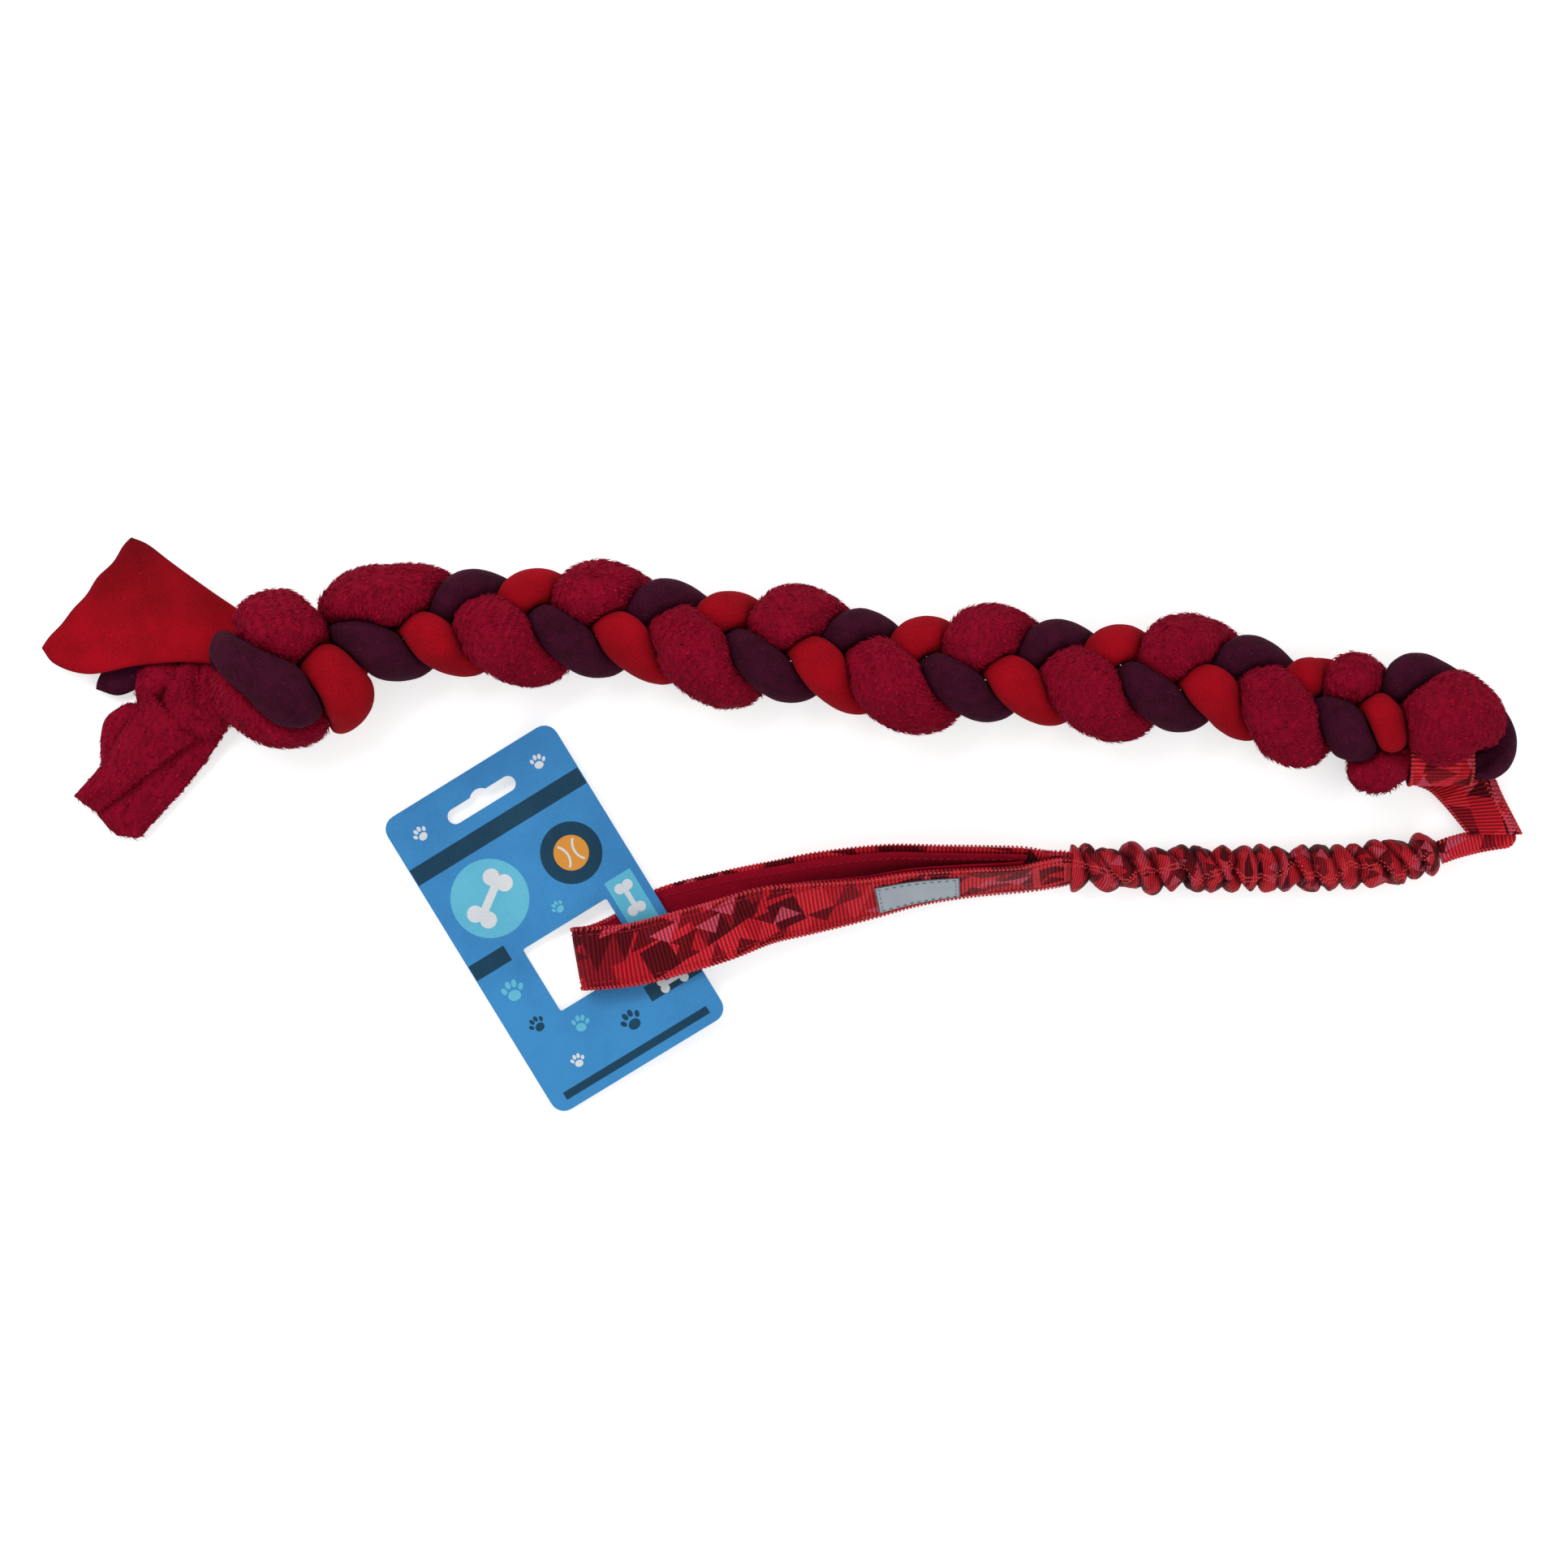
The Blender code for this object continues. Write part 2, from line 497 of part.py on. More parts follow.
def make_lead():
    pivot = on_grid(LEAD_SHARES[0])
    far, before = on_grid(BUNGEE_AXIS_SHARES[-1]), on_grid(BUNGEE_AXIS_SHARES[-2])
    outward = (far - before) / np.linalg.norm(far - before)
    points = np.vstack([on_grid(LEAD_SHARES), far + outward * (TACK_LENGTH + 4 * GAP)])
    line = []
    for back in LEAD_ROOT_SHARES:
        heading = (points[0] - points[1]) / np.linalg.norm(points[0] - points[1])
        place = pivot + heading * back * LEAD_WIDTH / 2
        line.append((place, heading, math.sqrt(1 - min(back, 0.97) ** 2), 0.0))
    run = curve_through(points, LEAD_WIDTH / 2)
    last = len(run) - 1
    for i in range(1, len(run)):
        heading = run[i - 1] - run[i]
        heading /= np.linalg.norm(heading)
        line.append((run[i], heading, 1.0, max(0.0, i / last - 0.25) / 0.75))
    rows = []
    low = LEAD_REST + LEAD_THICKNESS / 2
    for place, heading, full, rise in line:
        across = np.array((-heading[1], heading[0], 0.0))
        height = low + (BUNGEE_AXIS_HEIGHT - low) * rise * rise * (3 - 2 * rise)
        rows.append((np.array((*place, height)), across, UP, full))
    strip("lead_webbing", rows, WEBBING, LEAD_WIDTH, LEAD_THICKNESS)
    strip("lead_stitching", rows[len(LEAD_ROOT_SHARES) + 1:-1], THREAD_RED, THREAD, THREAD / 2,
          lift=LEAD_THICKNESS / 2 + GAP + THREAD / 4)


LEAD_ROOT_SHARES = (1.0, 0.86, 0.6, 0.3, 0.0)
make_lead()


# Bungee

def bungee_line(step):
    run = curve_through(on_grid(BUNGEE_AXIS_SHARES), step)
    return np.c_[run, np.full(len(run), BUNGEE_AXIS_HEIGHT)]


def round_ring(centre, tangent, radius, lean=0.0, sides=14):
    """A ring round a lying axis. A positive lean slants it along the axis."""
    side = np.cross(tangent, UP)
    side /= np.linalg.norm(side)
    ring = []
    for j in range(sides):
        turn = 2 * math.pi * j / sides
        point = centre + radius * (math.cos(turn) * side + math.sin(turn) * UP)
        point = point + tangent * lean * math.cos(turn + FOLD_SLANT)
        point[2] = max(point[2], 0.0)
        ring.append(point)
    return ring


FOLD_SLANT = math.radians(35)
SLEEVE_END_SHARE = 0.70  # the sleeve's radius where it is sewn down, of its full radius


def make_bungee():
    line = bungee_line(BUNGEE_LENGTH / (3 * BUNGEE_FOLDS))
    tangents, _, _ = frames_along(line)
    last = len(line) - 1
    outer, inner = [], []
    bore = BUNGEE_RADIUS - BUNGEE_FOLD_DEPTH - BUNGEE_WALL
    for i, (centre, tangent) in enumerate(zip(line, tangents)):
        valley = i % 3 == 0
        radius = BUNGEE_RADIUS - (BUNGEE_FOLD_DEPTH if valley else 0)
        lean = BUNGEE_FOLD_DEPTH
        if i in (0, last):
            radius, lean = BUNGEE_RADIUS * SLEEVE_END_SHARE, 0.0
        outer.append(round_ring(centre, tangent, radius, lean))
    for i in np.linspace(0, last, 7).astype(int):
        inner.append(round_ring(line[i], tangents[i], bore))
    loft("bungee_sleeve", outer + inner[::-1], WEBBING, closed=True)
    core = line[1:-1:4]
    rows = []
    for centre, tangent in zip(core, tangents[1:-1:4]):
        across = np.cross(tangent, UP)
        rows.append((centre, across / np.linalg.norm(across), UP, 1.0))
    strip("elastic_core", rows, RUBBER, ELASTIC_WIDTH, ELASTIC_THICKNESS)
    return line, tangents


def make_tack(node, end, outward):
    """Thread wound over the sewn end of the sleeve: three ridges."""
    rings = []
    for share, full in TACK_SHARES:
        place = end + outward * (GAP + share * TACK_LENGTH)
        rings.append(round_ring(place, outward, TACK_RADIUS * full, sides=12))
    loft(node, rings, THREAD_RED)


TACK_SHARES = ((0, 0.8), (0.16, 1), (0.33, 0.88), (0.5, 1), (0.67, 0.88), (0.84, 1), (1, 0.8))
BUNGEE_RUN, BUNGEE_TANGENTS = make_bungee()
make_tack("tack_near", BUNGEE_RUN[0], -BUNGEE_TANGENTS[0])
make_tack("tack_far", BUNGEE_RUN[-1], BUNGEE_TANGENTS[-1])


# Neck and handle

# The neck: X and Y, lean from lying flat in quarter turns, share of the webbing's width
NECK_SHARES = ((1.1865, -0.1705, 1.0, 0.46), (1.15, -0.173, 0.93, 0.66), (1.10, -0.176, 0.84, 0.88),
               (1.04, -0.178, 0.76, 0.97), (0.985, -0.1775, 0.74, 1.0))
NECK_THICKNESS = 2 * WEBBING_THICKNESS + GAP
# Its round root: share of half its thickness ahead of the swing axis, then of its thickness
NECK_ROOT_SHARES = ((1.0, 0.25), (0.77, 0.6))
# The handle's front branch from the neck: X, Y, height, lean in quarter turns
FRONT_SHARES = (
    (0.975, -0.205, 0.134, 0.73), (0.75, -0.220, 0.140, 0.70), (0.54, -0.245, 0.146, 0.63),
    (0.33, -0.290, 0.148, 0.54), (0.09, -0.330, 0.145, 0.37), (-0.08, -0.362, 0.140, 0.26),
    (-0.255, -0.425, 0.138, 0.11), (-0.42, -0.475, 0.138, 0.04), (-0.60, -0.522, 0.138, 0.0),
    (-0.73, -0.538, 0.138, 0.0))
# The bend at its left end: Y, and how far the normal has turned, in half turns
BEND_SHARES = ((-0.5425, 0.1), (-0.5435, 0.3), (-0.5435, 0.5), (-0.5425, 0.7), (-0.540, 0.9))
BEND_CENTRE_SHARES = (-0.775, 0.0795)  # its X and height
BEND_RADIUS = 0.0058
# The back branch to the neck: X, Y, height, lean
BACK_SHARES = (
    (-0.73, -0.522, 0.0215, 0.0), (-0.62, -0.468, 0.0215, 0.0), (-0.47, -0.377, 0.0215, 0.0),
    (-0.247, -0.318, 0.034, 0.07), (-0.013, -0.262, 0.072, 0.27), (0.17, -0.212, 0.098, 0.43),
    (0.43, -0.165, 0.120, 0.58), (0.64, -0.152, 0.127, 0.68), (0.82, -0.148, 0.128, 0.72),
    (0.975, -0.1475, 0.128, 0.73))


def handle_line():
    """The surface between the handle's webbing and its lining, as (centre, width
    direction, outward normal, fullness) from the front at the neck round to the back."""
    rows = [(x, y, z, lean / 2, 0.0) for x, y, z, lean in FRONT_SHARES]
    x, z = BEND_CENTRE_SHARES
    radius = BEND_RADIUS / GRID
    rows += [(x - radius * math.sin(math.pi * turned), y,
              z + radius * math.cos(math.pi * turned), 0.0, turned) for y, turned in BEND_SHARES]
    rows += [(x, y, z, lean / 2, 1.0) for x, y, z, lean in BACK_SHARES]
    rows = np.array(rows)
    rows[:, :3] *= GRID
    run = curve_through(rows, BEND_STEP)
    line = []
    tangents = np.gradient(run[:, :3], axis=0)
    for i, row in enumerate(run):
        bending = 0.01 < row[4] < 0.99
        if not bending and i % BRANCH_SKIP and i < len(run) - 1:
            continue
        ahead = tangents[i] / np.linalg.norm(tangents[i])
        lean, turned = row[3] * math.pi, np.clip(row[4], 0, 1)
        level = np.array((-ahead[1], ahead[0], 0.0))
        if turned <= 0 or turned >= 1:
            level *= np.sign(level[1])
            across = level / np.linalg.norm(level) * math.cos(lean) + UP * math.sin(lean)
        else:
            across = np.array((math.sin(BEND_SKEW), math.cos(BEND_SKEW), 0.0))
        normal = np.cross(across, ahead)
        line.append((row[:3], across, normal / np.linalg.norm(normal), 1.0))
    return line


NECK_STEP = 0.0042
BEND_STEP = 0.0018
BRANCH_SKIP = 4
TWIST_SPANS = 3
BEND_SKEW = math.radians(-10)  # of the webbing's width in the bend, from +Y
HANDLE = handle_line()
LAYER = GAP * 0.75  # half the space between webbing and lining


def make_handle():
    strip("handle_webbing", HANDLE, WEBBING, WEBBING_WIDTH, WEBBING_THICKNESS,
          lift=LAYER + WEBBING_THICKNESS / 2, spans=TWIST_SPANS)
    strip("handle_lining", HANDLE, LINING, WEBBING_WIDTH - 2 * LINING_INSET, LINING_THICKNESS,
          lift=-LAYER - LINING_THICKNESS / 2, spans=TWIST_SPANS)
    row = WEBBING_WIDTH / 2 - 2.5 * THREAD
    over = LAYER + WEBBING_THICKNESS + 2 * GAP + THREAD / 4
    bend = next(i for i, (centre, *_) in enumerate(HANDLE) if centre[0] < on_grid(BEND_CENTRE_SHARES[0]))
    front = HANDLE[1:bend]
    for node, side in (("handle_stitching_upper", row), ("handle_stitching_lower", -row)):
        strip(node, front, THREAD_RED, THREAD, THREAD / 2, side=side, lift=over)


def make_neck():
    run = curve_through(np.array(NECK_SHARES) * (GRID, GRID, 1, 1), NECK_STEP)
    line = []
    for x, y, lean, full in run:
        lean *= math.pi / 2
        across = np.array((0.0, math.cos(lean), math.sin(lean)))
        normal = np.array((0.0, -math.sin(lean), math.cos(lean)))
        height = max(full * WEBBING_WIDTH / 2 * math.sin(lean) + NECK_THICKNESS, BUNGEE_AXIS_HEIGHT)
        line.append((np.array((x, y, height)), across, normal, full))
    centre, across, normal, full = line[0]
    rings = []
    for ahead, thin in NECK_ROOT_SHARES:
        at = centre + np.array((ahead * NECK_THICKNESS / 2, 0, 0))
        side, out = across * full * WEBBING_WIDTH / 2, normal * thin * NECK_THICKNESS / 2
        rings.append([at - side - out, at + side - out, at + side + out, at - side + out])
    for centre, across, normal, full in line:
        side, out = across * full * WEBBING_WIDTH / 2, normal * NECK_THICKNESS / 2
        rings.append([centre - side - out, centre + side - out, centre + side + out,
                      centre - side + out])
    loft("neck_webbing", rings, WEBBING, smooth=False)
    return line


def place_on(line, along, side, lift):
    """A place on a strip, a run along it from its start."""
    centres = np.array([row[0] for row in line])
    run = np.r_[0, np.cumsum(np.linalg.norm(np.diff(centres, axis=0), axis=1))]
    parts = []
    for index in range(3):
        values = np.array([row[index] for row in line])
        parts.append(np.array([np.interp(along, run, values[:, k]) for k in range(3)]))
    centre, across, normal = parts
    return centre + across * side + normal * lift


make_handle()
NECK = make_neck()
LABEL_FROM_NECK = 0.0425  # from the handle's start to the label's middle
LABEL_OFF_CENTRE = 0.0012
LABEL_STEPS = 6
NECK_BOX_LENGTH = 0.013
NECK_BOX_WIDTH = 0.016
NECK_BOX_AT = 0.0135


def make_label():
    line = []
    for along in np.linspace(-0.5, 0.5, LABEL_STEPS) * LABEL_LENGTH + LABEL_FROM_NECK:
        centre = place_on(HANDLE, along, 0, 0)
        across = place_on(HANDLE, along, 1, 0) - centre
        normal = place_on(HANDLE, along, 0, 1) - centre
        line.append((centre, across / np.linalg.norm(across), normal / np.linalg.norm(normal), 1.0))
    low = LAYER + WEBBING_THICKNESS + 2 * GAP
    strip("handle_label", line, LABEL_GREY, LABEL_WIDTH, LABEL_THICKNESS,
          side=-LABEL_OFF_CENTRE, lift=low + LABEL_THICKNESS / 2, spans=TWIST_SPANS)
    bezel("label_stitching",
          lambda a, b, c: place_on(HANDLE, LABEL_FROM_NECK + a, b - LABEL_OFF_CENTRE, c),
          THREAD_RED, LABEL_LENGTH - 2 * THREAD, LABEL_WIDTH - 2 * THREAD, THREAD / 2,
          low + LABEL_THICKNESS + GAP)


make_label()
bezel("neck_stitching", lambda a, b, c: place_on(NECK, NECK_BOX_AT + a, b, c), THREAD_RED,
      NECK_BOX_LENGTH, NECK_BOX_WIDTH, THREAD, NECK_THICKNESS / 2 + GAP)


# Hang card

CARD_LEFT_SHARES = (-1.667, 0.01)  # its left corner
CARD_TILT = math.radians(5.6)
SLOT_FROM_TOP = 0.0135
WINDOW_FROM_TOP = 0.0752
CUT_OVERRUN = 0.004
ARC_STEPS = 5


def rounded_outline(width, height, radius):
    """A rectangle's outline from its own corner, with round corners."""
    points = []
    for cx, cy, start in ((width - radius, radius, 270), (width - radius, height - radius, 0),
                          (radius, height - radius, 90), (radius, radius, 180)):
        for k in range(ARC_STEPS + 1):
            turn = math.radians(start + 90 * k / ARC_STEPS)
            points.append((cx + radius * math.cos(turn), cy + radius * math.sin(turn)))
    return points


def euro_slot():
    """The slot's outline round its own middle: two round ends and a round bump on top."""
    points = []
    half, end = SLOT_WIDTH / 2, SLOT_HEIGHT / 2
    for k in range(ARC_STEPS * 2 + 1):
        turn = math.radians(-90 + 180 * k / (ARC_STEPS * 2))
        points.append((half - end + end * math.cos(turn), end * math.sin(turn)))
    points += [(-x, -y) for x, y in points]
    bump = SLOT_BUMP / 2
    meet = math.asin(end / bump)
    arc = []
    for k in range(ARC_STEPS * 2 + 1):
        turn = meet + (math.pi - 2 * meet) * k / (ARC_STEPS * 2)
        arc.append((bump * math.cos(turn), -bump * math.sin(turn)))
    lower = [(x, y) for x, y in points if y > -end + GAP or abs(x) > bump]
    end_left = [i for i, (x, y) in enumerate(lower) if x < 0][-1]
    return lower[:end_left + 1] + arc[::-1]


def card_prism(name, outline, low, high, surface):
    """A flat prism from an outline measured across the card and down from its top."""
    count = len(outline)
    verts = [(x, -y, low) for x, y in outline] + [(x, -y, high) for x, y in outline]
    faces = [tuple(range(count)), tuple(range(2 * count - 1, count - 1, -1))]
    faces += [(i, (i + 1) % count, (i + 1) % count + count, i + count) for i in range(count)]
    return add_object(name, verts, faces, surface, smooth=False)


def make_card():
    plate = card_prism("hang_card", rounded_outline(CARD_WIDTH, CARD_HEIGHT, CARD_CORNER),
                       0, CARD_THICKNESS, CARD_BLUE)
    window = [(WINDOW_FROM_LEFT + x, WINDOW_FROM_TOP + y) for x, y in
              rounded_outline(WINDOW_WIDTH, WINDOW_HEIGHT, CARD_CORNER / 6)]
    slot = [(CARD_WIDTH / 2 + x, SLOT_FROM_TOP + y) for x, y in euro_slot()]
    for name, outline in (("window_cutter", window), ("slot_cutter", slot)):
        cutter = card_prism(name, outline, -CUT_OVERRUN, CARD_THICKNESS + CUT_OVERRUN, CARD_BLUE)
        cutter.hide_render = True
        cutter.display_type = "WIRE"
        cutter.parent = plate
        cut = plate.modifiers.new(name, "BOOLEAN")
        cut.operation = "DIFFERENCE"
        cut.solver = "EXACT"
        cut.object = cutter
    corner = on_grid(CARD_LEFT_SHARES)
    plate.location = (*corner, GAP)
    plate.rotation_euler = (0, -CARD_TILT, CARD_TURN)


make_card()
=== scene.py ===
"""Bungee tug toy as it looks: a plait of plush and fleece with a knot and three
tails, a gathered bungee lead, a lined webbing handle and a printed hang card."""

import math

import bmesh
import bpy
import numpy as np
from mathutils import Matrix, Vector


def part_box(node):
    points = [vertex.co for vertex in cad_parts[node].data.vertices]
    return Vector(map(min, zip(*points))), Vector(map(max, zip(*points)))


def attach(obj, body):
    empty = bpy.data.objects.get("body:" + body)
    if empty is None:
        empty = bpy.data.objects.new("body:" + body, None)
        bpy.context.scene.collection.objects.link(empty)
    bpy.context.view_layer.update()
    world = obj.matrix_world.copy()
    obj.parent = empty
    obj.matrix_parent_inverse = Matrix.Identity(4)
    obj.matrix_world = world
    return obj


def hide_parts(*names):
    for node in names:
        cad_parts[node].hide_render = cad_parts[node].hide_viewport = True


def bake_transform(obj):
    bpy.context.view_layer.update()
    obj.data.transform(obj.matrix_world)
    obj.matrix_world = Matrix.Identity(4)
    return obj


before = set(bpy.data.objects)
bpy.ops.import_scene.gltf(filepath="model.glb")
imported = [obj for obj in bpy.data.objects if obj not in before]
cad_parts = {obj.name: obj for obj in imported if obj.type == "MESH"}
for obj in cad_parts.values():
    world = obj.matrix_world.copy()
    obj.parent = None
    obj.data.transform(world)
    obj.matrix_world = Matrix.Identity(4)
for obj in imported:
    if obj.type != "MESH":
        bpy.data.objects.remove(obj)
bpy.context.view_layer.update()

# Floor, light and camera
# The toy lies on a white floor and is looked at from straight above, with soft
# light from the upper left.
GRID = 0.100
CAMERA_HEIGHT = 2.0
CAMERA_AT = (0.0007, 0.0177)
FIELD = 0.644  # what the frame takes in at the toy's middle height
MIDDLE_HEIGHT = 0.02
SENSOR = 36.0
STUDIO_LIGHT = 0.55  # the world's strength as the toy is lit by it
FLOOR_COLOUR = 0.80
FLOOR_GLOW = 0.56  # what brings the floor to white where it is seen
FLOOR_DROP = 0.0006
FLOOR_REACH = 3.0

scene = bpy.context.scene
scene.view_settings.view_transform = "Standard"

camera_data = bpy.data.cameras.new("camera")
camera_data.sensor_width = SENSOR
camera_data.lens = SENSOR * (CAMERA_HEIGHT - MIDDLE_HEIGHT) / FIELD
camera_data.clip_end = 10
camera = bpy.data.objects.new("camera", camera_data)
camera.location = (*CAMERA_AT, CAMERA_HEIGHT)
scene.collection.objects.link(camera)
scene.camera = camera


def add_area(name, place, size, power):
    """A square lamp that looks at the toy's middle."""
    data = bpy.data.lights.new(name, "AREA")
    data.energy = power
    data.size = size
    lamp = bpy.data.objects.new(name, data)
    lamp.location = place
    x, y, z = place
    lamp.rotation_euler = (0, -math.atan2(math.hypot(x, y), z), math.atan2(-y, -x) + math.pi)
    scene.collection.objects.link(lamp)


add_area("key", place=(-0.7, 0.9, 1.6), size=1.2, power=26)
add_area("fill", place=(0.9, -0.5, 1.5), size=1.4, power=9)


def add_node(tree, kind, inputs=None, **settings):
    """A shader node with its settings, and a value or a link for each named input."""
    node = tree.nodes.new("ShaderNode" + kind)
    for label, value in settings.items():
        setattr(node, label, value)
    for label, value in (inputs or {}).items():
        if isinstance(value, bpy.types.NodeSocket):
            tree.links.new(value, node.inputs[label])
        else:
            node.inputs[label].default_value = value
    return node


def add_math(tree, kind, a, b=0):
    return add_node(tree, "Math", {0: a, 1: b}, operation=kind).outputs[0]


def seen_by(tree, ray):
    """1 for rays from the camera and for one other kind, 0 for the rest."""
    path = add_node(tree, "LightPath")
    return add_math(tree, "MAXIMUM", path.outputs["Is Camera Ray"], path.outputs[ray])


def new_shader(name, rough, specular=0.5):
    surface = bpy.data.materials.new(name)
    surface.use_nodes = True
    shader = surface.node_tree.nodes["Principled BSDF"]
    shader.inputs["Roughness"].default_value = rough
    shader.inputs["Specular IOR Level"].default_value = specular
    return surface, surface.node_tree, shader


world = bpy.data.worlds.new("studio")
scene.world = world
world.use_nodes = True
tree = world.node_tree
background = tree.nodes["Background"]
level = add_node(tree, "MapRange", {"Value": seen_by(tree, "Is Transmission Ray"),
                                    "To Min": STUDIO_LIGHT, "To Max": 1.0})
tree.links.new(level.outputs["Result"], background.inputs["Strength"])
background.inputs["Color"].default_value = (1, 1, 1, 1)

floor_mesh = bpy.data.meshes.new("floor")
floor_mesh.from_pydata([(x * FLOOR_REACH, y * FLOOR_REACH, 0)
                        for x, y in ((-1, -1), (1, -1), (1, 1), (-1, 1))], [], [(0, 1, 2, 3)])
floor = bpy.data.objects.new("floor", floor_mesh)
floor.location = (0, 0, -FLOOR_DROP)
scene.collection.objects.link(floor)
floor_paint, tree, shader = new_shader("floor", 0.9)
shader.inputs["Base Color"].default_value = (FLOOR_COLOUR, FLOOR_COLOUR, FLOOR_COLOUR, 1)
glow = add_math(tree, "MULTIPLY", seen_by(tree, "Is Glossy Ray"), FLOOR_GLOW)
shader.inputs["Emission Color"].default_value = (1, 1, 1, 1)
tree.links.new(glow, shader.inputs["Emission Strength"])
floor_mesh.materials.append(floor_paint)

# Plaited strands
# Three sewn tubes, softly filled: one of crimson short-pile plush and two of
# fleece. They are plaited, knotted at -X and turned back round the webbing at +X,
# and press each other flat wherever they touch.
BRAID_PITCH = 0.080
BRAID_SWING = 0.0098
BRAID_LIFT = 0.0066
BRAID_ROLL = math.radians(-24)
BRAID_HEIGHT = 0.0195
KNOT_SWELL = 1.12
BRAID_START_X = -0.0287
RING_STEP = 0.0036
RING_SIDES = 28
FINER = 3
CURVE_PARTS = 24
PRESS_GAP = 0.0004
PRESS_OWN = 1.3 * RING_STEP  # beyond this along itself, a strand presses on itself
SOFTENINGS = 2
END_LENGTH = 2.2 * RING_STEP  # over which a strand narrows at its two ends
END_SHARE = 0.30
PRESS_SEARCH = 0.05184  # how near another stretch of strand has to be to press
PRESS_STEPS = np.linspace(0.10, 1.0, 40)  # shares of the full radius that are tried
BRAID_AXIS = ((-1.95, 0.80), (-1.78, 0.813), (-1.22, 0.84), (-0.88, 0.847),
              (-0.547, 0.813), (-0.213, 0.75), (0.12, 0.727), (0.453, 0.643),
              (0.787, 0.657), (1.12, 0.633), (1.453, 0.61), (1.787, 0.613),
              (2.12, 0.497), (2.453, 0.43), (2.72, 0.43))
# X, Y and Z in squares of 100 mm, then fullness
KNOT_ROUTES = {
    "plush": ((-2.311, 0.505, 0.10, 0.60), (-2.21, 0.545, 0.070, 0.48), (-2.12, 0.60, 0.05, 0.42),
              (-2.00, 0.64, 0.05, 0.45), (-1.90, 0.58, 0.09, 0.60), (-1.93, 0.50, 0.19, 0.80),
              (-2.05, 0.485, 0.25, 0.88), (-2.16, 0.53, 0.285, 0.84), (-2.205, 0.62, 0.25, 0.80),
              (-2.155, 0.70, 0.25, 1.0), (-2.07, 0.76, 0.28, 1.2), (-1.965, 0.76, 0.23, 1.0),
              (-1.885, 0.77, 0.13, 0.65), (-1.81, 0.82, 0.17, 0.85), (-1.71, 0.885, 0.215, 0.98),
              (-1.61, 0.895, 0.22, 1.0)),
    "purple": ((-2.275, 0.64, 0.10, 0.6), (-2.27, 0.73, 0.20, 0.7), (-2.205, 0.695, 0.355, 0.85),
               (-2.09, 0.61, 0.38, 1.05), (-1.99, 0.52, 0.35, 1.0), (-1.92, 0.56, 0.20, 0.7),
               (-1.885, 0.68, 0.13, 0.65), (-1.83, 0.79, 0.19, 0.85), (-1.73, 0.785, 0.26, 1.0),
               (-1.64, 0.74, 0.27, 1.0)),
    "red": ((-2.255, 0.79, 0.14, 0.8), (-2.14, 0.72, 0.13, 0.8), (-2.02, 0.73, 0.15, 0.8),
            (-1.94, 0.70, 0.24, 0.95), (-1.86, 0.63, 0.31, 1.1), (-1.805, 0.55, 0.26, 1.05),
            (-1.835, 0.49, 0.14, 0.8), (-1.82, 0.58, 0.06, 0.6), (-1.77, 0.70, 0.06, 0.6),
            (-1.70, 0.83, 0.085, 0.7))}
BIGHT_ROUTES = {
    "plush": ((2.22, 0.50, 0.15, 0.75), (2.27, 0.575, 0.225, 0.75), (2.34, 0.60, 0.25, 0.75),
              (2.41, 0.585, 0.18, 0.60), (2.48, 0.545, 0.09, 0.50), (2.58, 0.485, 0.19, 0.90),
              (2.71, 0.445, 0.29, 1.3), (2.83, 0.40, 0.26, 1.0), (2.87, 0.335, 0.205, 0.55),
              (2.82, 0.315, 0.185, 0.42), (2.70, 0.31, 0.18, 0.45), (2.57, 0.30, 0.19, 0.5),
              (2.49, 0.27, 0.19, 0.80), (2.41, 0.275, 0.17, 0.80), (2.35, 0.30, 0.13, 0.65)),
    "purple": ((2.44, 0.42, 0.13, 0.7), (2.50, 0.53, 0.215, 0.75), (2.575, 0.60, 0.26, 0.95),
               (2.68, 0.59, 0.20, 0.80), (2.80, 0.54, 0.12, 0.65), (2.89, 0.46, 0.11, 0.7),
               (2.93, 0.365, 0.16, 0.75), (2.885, 0.285, 0.23, 0.85), (2.82, 0.245, 0.18, 0.5),
               (2.70, 0.235, 0.17, 0.5), (2.57, 0.23, 0.15, 0.5), (2.49, 0.22, 0.12, 0.6),
               (2.41, 0.22, 0.08, 0.6), (2.34, 0.25, 0.07, 0.6)),
    "red": ((2.25, 0.605, 0.16, 0.75), (2.31, 0.56, 0.09, 0.60), (2.39, 0.515, 0.16, 0.65),
            (2.465, 0.44, 0.30, 1.0), (2.50, 0.36, 0.22, 0.85), (2.56, 0.38, 0.12, 0.7),
            (2.66, 0.45, 0.09, 0.7), (2.78, 0.47, 0.09, 0.7), (2.87, 0.44, 0.08, 0.7),
            (2.91, 0.35, 0.085, 0.6), (2.86, 0.275, 0.095, 0.5), (2.70, 0.27, 0.10, 0.45),
            (2.57, 0.29, 0.10, 0.45), (2.46, 0.33, 0.07, 0.5), (2.36, 0.35, 0.07, 0.5))}
# Radius, the squares of X between which it is plaited, and its turn in the plait
STRANDS = {"plush": (0.0162, (-1.50, 2.12), 0), "purple": (0.0122, (-1.55, 2.37), 1),
           "red": (0.0118, (-1.62, 2.20), 2)}
# Place and heading in squares, and half the width, of each tail where it leaves its strand
TAIL_ROOTS = {"red": ((-2.345, 0.775, 0.135), (-0.95, 0.31), 0.0100),
              "plush": ((-2.335, 0.475, 0.10), (-0.62, -0.78), 0.0105),
              "purple": ((-2.365, 0.71, 0.062), (-0.96, 0.28), 0.0085)}
TAIL_THICKNESS = 0.0062
TAIL_OVER = 0.0012  # how far a tail's root reaches back over its strand
UP = np.array((0.0, 0.0, 1.0))


